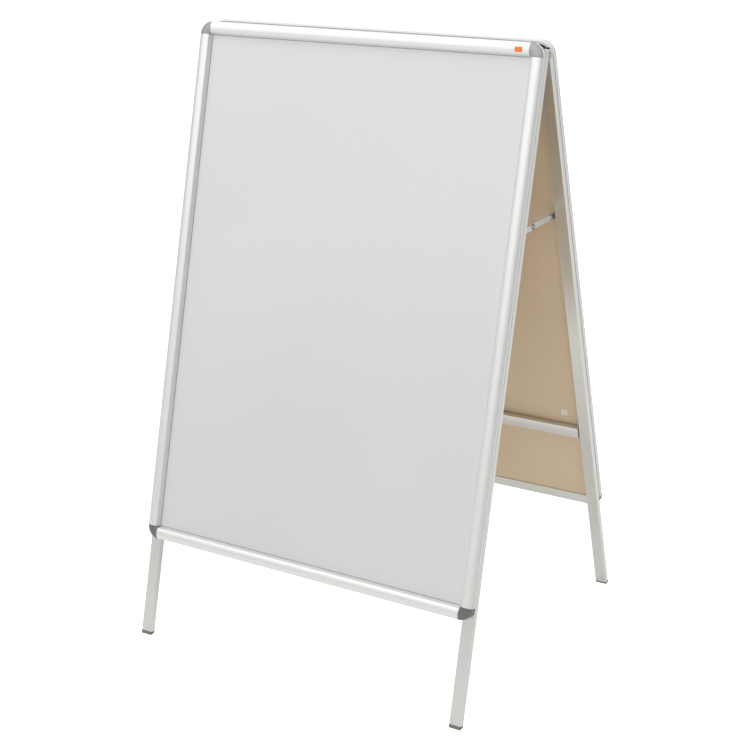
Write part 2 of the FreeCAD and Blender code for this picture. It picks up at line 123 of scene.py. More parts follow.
@dataclass
class ShaderSketch:
    """A shader node tree that is being wired up."""

    tree: bpy.types.NodeTree

    def node(self, kind: str, **settings: object) -> bpy.types.Node:
        """Adds a node.

        Args:
            kind: The node's type, without its ShaderNode prefix.
            settings: Properties to set on the node.

        Returns:
            The new node.
        """
        made = self.tree.nodes.new(kind if kind.startswith("Node") else f"ShaderNode{kind}")
        for name, value in settings.items():
            setattr(made, name, value)
        return made

    def feed(self, target: bpy.types.NodeSocket, value: object) -> None:
        """Links a socket to a target, or sets the target's own value.

        Args:
            target: The input socket.
            value: An output socket to link, or a plain value.
        """
        if isinstance(value, bpy.types.NodeSocket):
            self.tree.links.new(value, target)
        else:
            target.default_value = value

    def math(self, operation: str, *values: object, clamp: bool = False) -> bpy.types.NodeSocket:
        """Adds a Math node.

        Args:
            operation: Blender's name for the operation.
            values: Sockets or numbers for its inputs, in order.
            clamp: Whether the result is held between 0 and 1.

        Returns:
            The result's socket.
        """
        made = self.node("Math", operation=operation, use_clamp=clamp)
        for target, value in zip(made.inputs, values):
            self.feed(target, value)
        return made.outputs[0]

    def noise(self, vector: object, scale: object, detail: float = 3.0,
              rough: float = 0.5) -> bpy.types.NodeSocket:
        """Adds a Noise Texture.

        Args:
            vector: Socket with the coordinates.
            scale: Socket or number.
            detail: Number of octaves.
            rough: How strong the finer octaves are.

        Returns:
            The noise value's socket.
        """
        made = self.node("TexNoise")
        self.feed(made.inputs["Vector"], vector)
        self.feed(made.inputs["Scale"], scale)
        made.inputs["Detail"].default_value = detail
        made.inputs["Roughness"].default_value = rough
        return made.outputs["Fac"]

    def scaled(self, value: object, factor: object) -> bpy.types.NodeSocket:
        """Multiplies a value by a number or another value."""
        return self.math("MULTIPLY", value, factor)

    def total(self, first: object, *others: object) -> object:
        """Adds values up, from the first on."""
        for other in others:
            first = self.math("ADD", first, other)
        return first

    def split(self, vector: object) -> bpy.types.NodeOutputs:
        """Splits a vector into X, Y and Z."""
        made = self.node("SeparateXYZ")
        self.feed(made.inputs[0], vector)
        return made.outputs

    def mapped(self, vector: object, scale: Sequence[float] = (1.0, 1.0, 1.0),
               rotation: Sequence[float] = (0.0, 0.0, 0.0)) -> bpy.types.NodeSocket:
        """Scales and turns coordinates."""
        made = self.node("Mapping")
        self.feed(made.inputs["Vector"], vector)
        made.inputs["Scale"].default_value = scale
        made.inputs["Rotation"].default_value = rotation
        return made.outputs[0]

    def spread(self, value: object, low: float, high: float, to_low: object = 0.0,
               to_high: object = 1.0) -> bpy.types.NodeSocket:
        """Maps a value from one range to another, held at its ends.

        Args:
            value: Socket with the value.
            low: Start of the range it comes from.
            high: End of that range.
            to_low: Result at the start.
            to_high: Result at the end.

        Returns:
            The result's socket.
        """
        made = self.node("MapRange")
        for target, given in zip(made.inputs, (value, low, high, to_low, to_high)):
            self.feed(target, given)
        return made.outputs[0]

    def blend(self, amount: object, first: object, second: object) -> bpy.types.NodeSocket:
        """Mixes two colours.

        Args:
            amount: Socket or number from 0 to 1.
            first: Colour at 0.
            second: Colour at 1.

        Returns:
            The mixed colour's socket.
        """
        made = self.node("Mix", data_type="RGBA")
        self.feed(made.inputs[0], amount)
        self.feed(made.inputs[6], first)
        self.feed(made.inputs[7], second)
        return made.outputs[2]


class EffectGroups:
    """Shader groups that several finishes share, each built once."""

    def __init__(self) -> None:
        """Starts with no group built."""
        self._built: dict[str, bpy.types.NodeTree] = {}

    def get(self, name: str) -> bpy.types.NodeTree:
        """Returns a group, building it the first time.

        Args:
            name: "drawn_lines", "handling" or "dust".

        Returns:
            The shader group.
        """
        if name not in self._built:
            self._built[name] = getattr(self, f"_{name}")()
        return self._built[name]

    @staticmethod
    def _open(name: str, inputs: Sequence[tuple[str, str, float | None]],
              outputs: Sequence[str]) -> ShaderSketch:
        """Starts a group with named sockets.

        Args:
            name: The group's name.
            inputs: Name, socket type and default of each input.
            outputs: Names of the outputs, all plain values.

        Returns:
            The sketch of the new group.
        """
        tree = bpy.data.node_groups.new(name, "ShaderNodeTree")
        for socket, kind, default in inputs:
            made = tree.interface.new_socket(socket, in_out="INPUT", socket_type=kind)
            if default is not None:
                made.default_value = default
        for socket in outputs:
            tree.interface.new_socket(socket, in_out="OUTPUT", socket_type="NodeSocketFloat")
        return ShaderSketch(tree)

    def _drawn_lines(self) -> bpy.types.NodeTree:
        """Fine lines along Z, as an extrusion or a drawn tube has."""
        inputs = [("Vector", "NodeSocketVector", None), ("Lines per Metre", "NodeSocketFloat", 900.0)]
        sketch = self._open("drawn_lines", inputs, ["Lines", "Bands"])
        given = sketch.node("NodeGroupInput").outputs
        stretched = sketch.mapped(given["Vector"], scale=(1.0, 1.0, 0.004))
        fine = sketch.noise(stretched, given["Lines per Metre"], 2.0, 0.6)
        bands = sketch.noise(stretched, sketch.scaled(given["Lines per Metre"], 0.12), 2.0)
        out = sketch.node("NodeGroupOutput")
        sketch.feed(out.inputs["Lines"], sketch.spread(fine, 0.25, 0.75))
        sketch.feed(out.inputs["Bands"], sketch.spread(bands, 0.3, 0.7))
        return sketch.tree

    def _handling(self) -> bpy.types.NodeTree:
        """Soft smudges from hands, and sparse short scratches."""
        inputs = [("Vector", "NodeSocketVector", None), ("Scratch Length", "NodeSocketFloat", 0.02)]
        sketch = self._open("handling", inputs, ["Smudges", "Scratches"])
        given = sketch.node("NodeGroupInput").outputs
        cloud = sketch.noise(given["Vector"], 9.0, 4.0, 0.55)
        turned = sketch.mapped(given["Vector"], scale=(1.0, 0.05, 1.0), rotation=(0.5, 0.3, 0.9))
        cuts = sketch.noise(turned, sketch.math("DIVIDE", 9.0, given["Scratch Length"]), 1.0)
        patches = sketch.noise(given["Vector"], 30.0, 1.0)
        marked = sketch.scaled(sketch.spread(cuts, 0.70, 0.74), sketch.spread(patches, 0.5, 0.6))
        out = sketch.node("NodeGroupOutput")
        sketch.feed(out.inputs["Smudges"], sketch.spread(cloud, 0.35, 0.7))
        sketch.feed(out.inputs["Scratches"], marked)
        return sketch.tree

    def _dust(self) -> bpy.types.NodeTree:
        """Thin dust that settles where a surface faces up."""
        inputs = [("Vector", "NodeSocketVector", None), ("Amount", "NodeSocketFloat", 0.3)]
        sketch = self._open("dust", inputs, ["Mask"])
        given = sketch.node("NodeGroupInput").outputs
        level = sketch.spread(sketch.split(sketch.node("NewGeometry").outputs["Normal"])["Z"], 0.3, 1.0)
        grains = sketch.noise(given["Vector"], 700.0, 4.0, 0.7)
        speckled = sketch.scaled(level, sketch.spread(grains, 0.45, 0.65, 0.2, 1.0))
        out = sketch.node("NodeGroupOutput")
        sketch.feed(out.inputs["Mask"], sketch.math("MULTIPLY", speckled, given["Amount"], clamp=True))
        return sketch.tree


# ---- finishes ----------------------------------------------------------------------------------------------


@dataclass(frozen=True)
class Finish:
    """A surface finish with fine variation in colour, roughness and relief."""

    name: str
    slot: str
    color: tuple[float, float, float]
    roughness: float
    metallic: float = 0.0
    specular: float = 0.5

    def build(self, groups: EffectGroups) -> bpy.types.Material:
        """Makes the material.

        Args:
            groups: The shared shader groups.

        Returns:
            The finished material.
        """
        material = bpy.data.materials.new(self.name)
        material.use_nodes = True
        sketch = ShaderSketch(material.node_tree)
        shader = next(n for n in material.node_tree.nodes if n.type == "BSDF_PRINCIPLED")
        shader.inputs["Metallic"].default_value = self.metallic
        shader.inputs["Specular IOR Level"].default_value = self.specular
        self.wire(sketch, shader, groups)
        return material

    def wire(self, sketch: ShaderSketch, shader: bpy.types.Node, groups: EffectGroups) -> None:
        """Wires the finish's own nodes into its Principled shader.

        Args:
            sketch: The material's node tree.
            shader: Its Principled shader.
            groups: The shared shader groups.
        """
        raise NotImplementedError

    def shade(self, factor: float) -> Color:
        """The main colour made lighter or darker.

        Args:
            factor: What each channel is multiplied by.

        Returns:
            The colour, held at 1.
        """
        return (*(min(1.0, c * factor) for c in self.color), 1.0)

    @staticmethod
    def place(sketch: ShaderSketch) -> bpy.types.NodeSocket:
        """The coordinates that patterns lie on."""
        return sketch.node("TexCoord").outputs["Object"]

    @staticmethod
    def effect(sketch: ShaderSketch, groups: EffectGroups, name: str,
               **values: object) -> bpy.types.NodeOutputs:
        """Adds one of the shared groups.

        Args:
            sketch: The material's node tree.
            groups: The shared shader groups.
            name: The group's name.
            values: Sockets or numbers for its inputs, with underscores for spaces.

        Returns:
            The group's outputs.
        """
        made = sketch.node("Group", node_tree=groups.get(name))
        for socket, value in values.items():
            sketch.feed(made.inputs[socket.replace("_", " ")], value)
        return made.outputs

    @staticmethod
    def relief(sketch: ShaderSketch, shader: bpy.types.Node, height: object, depth: float) -> None:
        """Adds fine relief.

        Args:
            sketch: The material's node tree.
            shader: Its Principled shader.
            height: Socket with a height from 0 to 1.
            depth: The relief's depth in metres.
        """
        bump = sketch.node("Bump")
        bump.inputs["Strength"].default_value = 1.0
        bump.inputs["Distance"].default_value = depth
        sketch.feed(bump.inputs["Height"], height)
        sketch.feed(shader.inputs["Normal"], bump.outputs[0])


@dataclass(frozen=True)
class AnodisedAluminium(Finish):
    """Satin anodised extrusion with fine drawn lines along its length."""

    grain: Grain = Grain.ACROSS
    lean: float = 0.0
    lines_per_metre: float = 2200.0
    relief_depth: float = 0.003 * MM
    dust_amount: float = 0.18

    def wire(self, sketch: ShaderSketch, shader: bpy.types.Node, groups: EffectGroups) -> None:
        """Wires the drawn lines, faint bands, smudges and dust."""
        place = self.place(sketch)
        turns = {Grain.ACROSS: (0.0, math.pi / 2, 0.0), Grain.DOWN_FRONT: (self.lean, 0.0, 0.0),
                 Grain.DOWN_REAR: (-self.lean, 0.0, 0.0)}
        along = sketch.mapped(place, rotation=turns[self.grain])
        drawn = self.effect(sketch, groups, "drawn_lines", Vector=along, Lines_per_Metre=self.lines_per_metre)
        marks = self.effect(sketch, groups, "handling", Vector=place)
        dust = self.effect(sketch, groups, "dust", Vector=place, Amount=self.dust_amount)
        color = sketch.blend(drawn["Lines"], self.shade(0.965), self.shade(1.03))
        color = sketch.blend(sketch.scaled(drawn["Bands"], 0.25), color, self.shade(0.96))
        color = sketch.blend(dust["Mask"], color, (0.72, 0.71, 0.69, 1.0))
        sketch.feed(shader.inputs["Base Color"], color)
        sketch.feed(shader.inputs["Roughness"], sketch.total(
            self.roughness, sketch.scaled(marks["Smudges"], 0.05), sketch.scaled(drawn["Lines"], 0.04),
            sketch.scaled(marks["Scratches"], -0.06)))
        self.relief(sketch, shader, drawn["Lines"], self.relief_depth)


@dataclass(frozen=True)
class MouldedPlastic(Finish):
    """Moulded plastic with a fine spark-eroded texture."""

    texture_scale: float = 2400.0
    relief_depth: float = 0.02 * MM
    dust_amount: float = 0.15

    def wire(self, sketch: ShaderSketch, shader: bpy.types.Node, groups: EffectGroups) -> None:
        """Wires the moulded texture, faint clouding and dust."""
        place = self.place(sketch)
        pits = sketch.noise(place, self.texture_scale, 3.0, 0.6)
        cloud = sketch.noise(place, 60.0, 3.0)
        marks = self.effect(sketch, groups, "handling", Vector=place)
        dust = self.effect(sketch, groups, "dust", Vector=place, Amount=self.dust_amount)
        color = sketch.blend(cloud, self.shade(0.92), self.shade(1.08))
        color = sketch.blend(sketch.scaled(marks["Scratches"], 0.5), color, self.shade(1.25))
        color = sketch.blend(dust["Mask"], color, (0.60, 0.59, 0.57, 1.0))
        sketch.feed(shader.inputs["Base Color"], color)
        sketch.feed(shader.inputs["Roughness"], sketch.total(self.roughness, sketch.scaled(pits, 0.12)))
        self.relief(sketch, shader, pits, self.relief_depth)


@dataclass(frozen=True)
class HingePlastic(MouldedPlastic):
    """Moulded plastic painted near-black as shade inside the leg, keeping its own pale colour on the ear's open
    face.
    """

    face_across: float = 311.2 * MM
    face_blur: float = 0.4 * MM
    # near-black colour of the painted shade inside the leg
    dark: Color = (0.03, 0.03, 0.032, 1.0)

    def wire(self, sketch: ShaderSketch, shader: bpy.types.Node, groups: EffectGroups) -> None:
        """Wires the moulded texture and paints shade, near-black, over everything but the open faces."""
        super().wire(sketch, shader, groups)
        reach = sketch.math("ABSOLUTE", sketch.split(self.place(sketch))["X"])
        faced = sketch.spread(reach, self.face_across - self.face_blur, self.face_across)
        pale = shader.inputs["Base Color"].links[0].from_socket
        # painted shade: near-black wherever the insert sits inside the leg, standing for the shade in the
        # tube's opening
        sketch.feed(shader.inputs["Base Color"], sketch.blend(faced, self.dark, pale))


@dataclass(frozen=True)
class CapPlastic(MouldedPlastic):
    """Silvered plastic caps: the upper caps' walls at the hinge carry a painted highlight with painted shade
    behind them for the dark openings, and the lower caps are made darker by painted shade.
    """

    lean: float = 0.0
    axis_height: float = 989.2 * MM
    upper_height: float = 900.0 * MM
    upper_blur: float = 10.0 * MM
    wall_out: float = 21.2 * MM
    wall_blur: float = 0.4 * MM
    back_out: float = 11.2 * MM
    back_blur: float = 0.3 * MM
    # painted light: how far the lower caps are darkened, the pale highlight colour of the upper walls, and the
    # near-black shade colour
    lower_painted_shade: float = 0.60
    painted_highlight: Color = (0.72, 0.72, 0.72, 1.0)
    dark: Color = (0.03, 0.03, 0.032, 1.0)

    def wire(self, sketch: ShaderSketch, shader: bpy.types.Node, groups: EffectGroups) -> None:
        """Wires the moulded texture, paints a pale highlight on the upper caps' walls and shade behind them,
        and paints shade over the lower caps.
        """
        super().wire(sketch, shader, groups)
        parts = sketch.split(self.place(sketch))
        away = sketch.scaled(sketch.math("ABSOLUTE", parts["Y"]), math.cos(self.lean))
        above = sketch.math("SUBTRACT", parts["Z"], self.axis_height)
        out = sketch.total(away, sketch.scaled(above, math.sin(self.lean)))
        upper = sketch.spread(parts["Z"], self.upper_height, self.upper_height + self.upper_blur)
        walls = sketch.spread(out, self.wall_out - self.wall_blur, self.wall_out, 1.0, 0.0)
        shaded_openings = sketch.spread(out, self.back_out, self.back_out + self.back_blur, 1.0, 0.0)
        highlighted_walls = sketch.scaled(upper, walls)
        silvered = shader.inputs["Base Color"].links[0].from_socket
        # painted shade: the lower caps darkened towards near-black
        color = sketch.blend(sketch.spread(upper, 0.0, 1.0, self.lower_painted_shade, 0.0), silvered, self.dark)
        # painted highlight: the upper caps' walls made pale
        color = sketch.blend(highlighted_walls, color, self.painted_highlight)
        # painted shade: the upper caps' backs made near-black where the leg tops open
        color = sketch.blend(sketch.scaled(upper, shaded_openings), color, self.dark)
        sketch.feed(shader.inputs["Base Color"], color)
        # the painted highlight is also made non-metallic
        sketch.feed(shader.inputs["Metallic"], sketch.spread(highlighted_walls, 0.0, 1.0, self.metallic, 0.0))


@dataclass(frozen=True)
class Hardboard(Finish):
    """Pressed wood fibre with short matted fibres, flecks and a soft sheen."""

    fleck: Color = (0.26, 0.17, 0.09, 1.0)
    dust_color: Color = (0.62, 0.60, 0.56, 1.0)

    def wire(self, sketch: ShaderSketch, shader: bpy.types.Node, groups: EffectGroups) -> None:
        """Wires the matted fibres, clouding and dark flecks."""
        place = self.place(sketch)
        warp = sketch.node("TexNoise")
        sketch.feed(warp.inputs["Vector"], place)
        warp.inputs["Scale"].default_value = 140.0
        bent = sketch.node("VectorMath", operation="MULTIPLY_ADD")
        sketch.feed(bent.inputs[0], warp.outputs["Color"])
        bent.inputs[1].default_value = (0.006, 0.006, 0.006)
        sketch.feed(bent.inputs[2], place)
        fibres = sketch.noise(bent.outputs[0], 900.0, 6.0, 0.72)
        cloud = sketch.noise(place, 7.0, 5.0, 0.6)
        flecks = sketch.spread(sketch.noise(bent.outputs[0], 420.0, 3.0, 0.7), 0.66, 0.74)
        dust = self.effect(sketch, groups, "dust", Vector=place, Amount=0.2)
        color = sketch.blend(sketch.spread(fibres, 0.3, 0.7), self.shade(0.84), self.shade(1.14))
        color = sketch.blend(sketch.spread(cloud, 0.3, 0.7, 0.0, 0.4), color, self.shade(0.9))
        color = sketch.blend(sketch.scaled(flecks, 0.5), color, self.fleck)
        color = sketch.blend(dust["Mask"], color, self.dust_color)
        sketch.feed(shader.inputs["Base Color"], color)
        rough = sketch.spread(fibres, 0.2, 0.8, self.roughness, self.roughness + 0.2)
        sketch.feed(shader.inputs["Roughness"], rough)
        self.relief(sketch, shader, fibres, 0.08 * MM)


@dataclass(frozen=True)
class AntiGlareSheet(Finish):
    """Matte film with a fine frosted tooth and faint waviness, over a white poster, with a painted shadow line
    under the covers' lips.
    """

    tooth_scale: float = 3200.0
    lip_across: float = 290.75 * MM
    lip_heights: Point = (187.7 * MM, 987.2 * MM)
    # width of the painted shadow band along the lips
    lip_shadow_width: float = 1.1 * MM

    def wire(self, sketch: ShaderSketch, shader: bpy.types.Node, groups: EffectGroups) -> None:
        """Wires the frosted tooth, slow waves, faint smudges and the painted shadow along the covers' lips."""
        place = self.place(sketch)
        tooth = sketch.noise(place, self.tooth_scale, 2.0, 0.6)
        waves = sketch.noise(place, 3.2, 2.0, 0.4)
        marks = self.effect(sketch, groups, "handling", Vector=place)
        color = sketch.blend(sketch.spread(waves, 0.3, 0.7), self.shade(0.98), self.shade(1.02))
        color = sketch.blend(sketch.scaled(tooth, 0.3), color, self.shade(0.97))
        # painted shadow: the sheet darkened to 30% in a thin band under the covers' lips
        color = sketch.blend(self.lip_painted_shadow(sketch, place), color, self.shade(0.3))
        sketch.feed(shader.inputs["Base Color"], color)
        sketch.feed(shader.inputs["Roughness"], sketch.total(
            self.roughness, sketch.scaled(marks["Smudges"], 0.04), sketch.scaled(tooth, 0.05)))
        self.relief(sketch, shader, sketch.total(sketch.scaled(tooth, 0.012), waves), 0.8 * MM)

    def lip_painted_shadow(self, sketch: ShaderSketch, place: bpy.types.NodeSocket) -> bpy.types.NodeSocket:
        """Mask of the painted shadow: a fine dark line where the covers' lips press on the sheet.

        Args:
            sketch: Material being wired.
            place: Object coordinates.

        Returns:
            The mask, from 0 to 1.
        """
        parts, line = sketch.split(place), self.lip_shadow_width
        sides = sketch.spread(sketch.math("ABSOLUTE", parts["X"]), self.lip_across - line, self.lip_across)
        low, high = self.lip_heights
        bottom = sketch.spread(parts["Z"], low, low + line, 1.0, 0.0)
        top = sketch.spread(parts["Z"], high - line, high)
        return sketch.math("MAXIMUM", sides, sketch.math("MAXIMUM", bottom, top))


@dataclass(frozen=True)
class PlainPaper(Finish):
    """Uncoated paper with visible formation."""

    def wire(self, sketch: ShaderSketch, shader: bpy.types.Node, groups: EffectGroups) -> None:
        """Wires the paper's cloudy formation and tooth."""
        place = self.place(sketch)
        formation = sketch.noise(place, 240.0, 5.0, 0.65)
        color = sketch.blend(formation, self.shade(0.95), self.shade(1.03))
        sketch.feed(shader.inputs["Base Color"], color)
        sketch.feed(shader.inputs["Roughness"], sketch.spread(formation, 0.2, 0.8, self.roughness, 1.0))
        self.relief(sketch, shader, sketch.noise(place, 1500.0, 3.0), 0.02 * MM)


@dataclass(frozen=True)
class PlatedSteel(Finish):
    """Zinc-plated steel with a crystalline shift in tone and rubbed patches."""

    def wire(self, sketch: ShaderSketch, shader: bpy.types.Node, groups: EffectGroups) -> None:
        """Wires the crystals, tarnish and rubbed patches."""
        place = self.place(sketch)
        crystals = sketch.node("TexVoronoi")
        sketch.feed(crystals.inputs["Vector"], place)
        crystals.inputs["Scale"].default_value = 380.0
        tone = sketch.node("SeparateColor")
        sketch.feed(tone.inputs[0], crystals.outputs["Color"])
        tarnish = sketch.noise(place, 130.0, 5.0, 0.65)
        marks = self.effect(sketch, groups, "handling", Vector=place, Scratch_Length=0.006)
        color = sketch.blend(tone.outputs[0], self.shade(0.9), self.shade(1.08))
        color = sketch.blend(sketch.spread(tarnish, 0.5, 0.8, 0.0, 0.6), color, self.shade(0.62))
        color = sketch.blend(marks["Scratches"], color, self.shade(1.2))
        sketch.feed(shader.inputs["Base Color"], color)
        rough = sketch.spread(tarnish, 0.3, 0.8, self.roughness, self.roughness + 0.2)
        sketch.feed(shader.inputs["Roughness"], rough)
        self.relief(sketch, shader, tarnish, 0.03 * MM)


@dataclass(frozen=True)
class StudioFloor(Finish):
    """Seamless matte backdrop paper, lit from behind so that it reads as white."""

    glow: float = 0.0
    camera_glow: float = 0.0

    def wire(self, sketch: ShaderSketch, shader: bpy.types.Node, groups: EffectGroups) -> None:
        """Wires the paper's faint formation."""
        formation = sketch.noise(self.place(sketch), 30.0, 4.0)
        sketch.feed(shader.inputs["Base Color"], sketch.blend(formation, self.shade(0.99), self.shade(1.01)))
        shader.inputs["Roughness"].default_value = self.roughness
        shader.inputs["Emission Color"].default_value = (1.0, 1.0, 1.0, 1.0)
        seen = sketch.node("LightPath").outputs["Is Camera Ray"]
        glow = sketch.spread(seen, 0.0, 1.0, self.glow, self.camera_glow)
        sketch.feed(shader.inputs["Emission Strength"], glow)


@dataclass
class FinishSet:
    """Every finish of the board, made into materials on first use."""

    lean: float
    groups: EffectGroups = field(default_factory=EffectGroups)
    made: dict[str, bpy.types.Material] = field(default_factory=dict)

    def finishes(self) -> list[Finish]:
        """All finishes that the board uses."""
        frame = [AnodisedAluminium(f"anodised_frame_{g.value}", "anodised_frame", (0.78, 0.785, 0.775), 0.50,
                                   1.0, grain=g, lean=self.lean) for g in Grain]
        legs = [AnodisedAluminium(f"anodised_leg_{g.value}", "anodised_leg", (0.72, 0.72, 0.70), 0.28, 1.0,
                                  grain=g, lean=self.lean) for g in Grain]
        film = {"texture_scale": 900.0, "relief_depth": 0.005 * MM, "dust_amount": 0.03}
        return frame + legs + [
            CapPlastic("corner_plastic", "corner_cap", (0.33, 0.33, 0.335), 0.34, 0.35, lean=self.lean),
            MouldedPlastic("foot_plastic", "foot_cap", (0.16, 0.165, 0.17), 0.45),
            HingePlastic("hinge_plastic", "corner_cap", (0.55, 0.55, 0.55), 0.4),
            MouldedPlastic("orange_label", "corner_cap", (0.80, 0.17, 0.02), 0.35, **film),
            MouldedPlastic("pale_label", "corner_cap", (0.80, 0.78, 0.72), 0.5, **film),
            Hardboard("brown_hardboard", "backing_board", (0.72, 0.585, 0.42), 0.5),
            PlainPaper("white_paper", "poster", (0.86, 0.87, 0.87), 0.8),
            AntiGlareSheet("anti_glare_sheet", "clear_sheet", (0.62, 0.627, 0.62), 0.42),
            PlatedSteel("plated_steel", "plated_steel", (0.66, 0.66, 0.65), 0.32, 1.0),
            PlatedSteel("spring_steel", "spring_steel", (0.40, 0.40, 0.41), 0.3, 1.0),
            StudioFloor("backdrop_paper", "", (0.72, 0.72, 0.71), 0.9, specular=0.1, glow=0.22,
                        camera_glow=1.0),
        ]

    def get(self, name: str) -> bpy.types.Material:
        """Returns a finish's material.

        Args:
            name: The finish's name.

        Returns:
            Its material.
        """
        if not self.made:
            self.made = {f.name: f.build(self.groups) for f in self.finishes()}
        return self.made[name]

    def slot(self, name: str) -> str:
        """Name of the record's slot that a finish stands for."""
        return next(f.slot for f in self.finishes() if f.name == name)


# ---- geometry trees ----------------------------------------------------------------------------------------


@dataclass
class GeometrySketch:
    """A geometry node tree that is being wired up, with named inputs."""

    name: str
    inputs: Sequence[tuple[str, str, object]]
    tree: bpy.types.NodeTree = field(init=False)
    given: bpy.types.NodeOutputs = field(init=False)

    def __post_init__(self) -> None:
        """Opens the tree and its sockets."""
        self.tree = bpy.data.node_groups.new(self.name, "GeometryNodeTree")
        face = self.tree.interface
        face.new_socket("Geometry", in_out="INPUT", socket_type="NodeSocketGeometry")
        for name, kind, default in self.inputs:
            made = face.new_socket(name, in_out="INPUT", socket_type=kind)
            if default is not None:
                made.default_value = default
        face.new_socket("Geometry", in_out="OUTPUT", socket_type="NodeSocketGeometry")
        self.given = self.tree.nodes.new("NodeGroupInput").outputs

    def node(self, kind: str, feeds: dict[str | int, object] | None = None,
             **settings: object) -> bpy.types.Node:
        """Adds a node.

        Args:
            kind: The node's full type name.
            feeds: Sockets or values for its inputs, by name or place.
            settings: Properties to set on the node.

        Returns:
            The new node.
        """
        made = self.tree.nodes.new(kind)
        for name, value in settings.items():
            setattr(made, name, value)
        for socket, value in (feeds or {}).items():
            if isinstance(value, bpy.types.NodeSocket):
                self.tree.links.new(value, made.inputs[socket])
            else:
                made.inputs[socket].default_value = value
        return made

    def math(self, operation: str, *values: object) -> bpy.types.NodeSocket:
        """Adds a Math node and returns its result."""
        return self.node("ShaderNodeMath", dict(enumerate(values)), operation=operation).outputs[0]

    def xyz(self, x: object = 0.0, y: object = 0.0, z: object = 0.0) -> bpy.types.NodeSocket:
        """Makes a vector from three sockets or numbers."""
        return self.node("ShaderNodeCombineXYZ", {0: x, 1: y, 2: z}).outputs[0]

    def join(self, *parts: bpy.types.NodeSocket) -> bpy.types.NodeSocket:
        """Joins several geometries."""
        made = self.node("GeometryNodeJoinGeometry")
        for part in parts:
            self.tree.links.new(part, made.inputs[0])
        return made.outputs[0]

    def move(self, part: bpy.types.NodeSocket, shift: object, turn: object = (0.0, 0.0, 0.0),
             scale: object = (1.0, 1.0, 1.0)) -> bpy.types.NodeSocket:
        """Moves, turns and scales a geometry."""
        feeds = {"Geometry": part, "Translation": shift, "Rotation": turn, "Scale": scale}
        return self.node("GeometryNodeTransform", feeds).outputs[0]

    def close(self, part: bpy.types.NodeSocket) -> bpy.types.NodeTree:
        """Ends the tree in realised geometry with its material.

        Args:
            part: The finished geometry.

        Returns:
            The whole tree.
        """
        real = self.node("GeometryNodeRealizeInstances", {0: part}).outputs[0]
        dressed = self.node("GeometryNodeSetMaterial", {"Geometry": real, "Material": self.given["Material"]})
        self.node("NodeGroupOutput", {0: dressed.outputs[0]})
        return self.tree


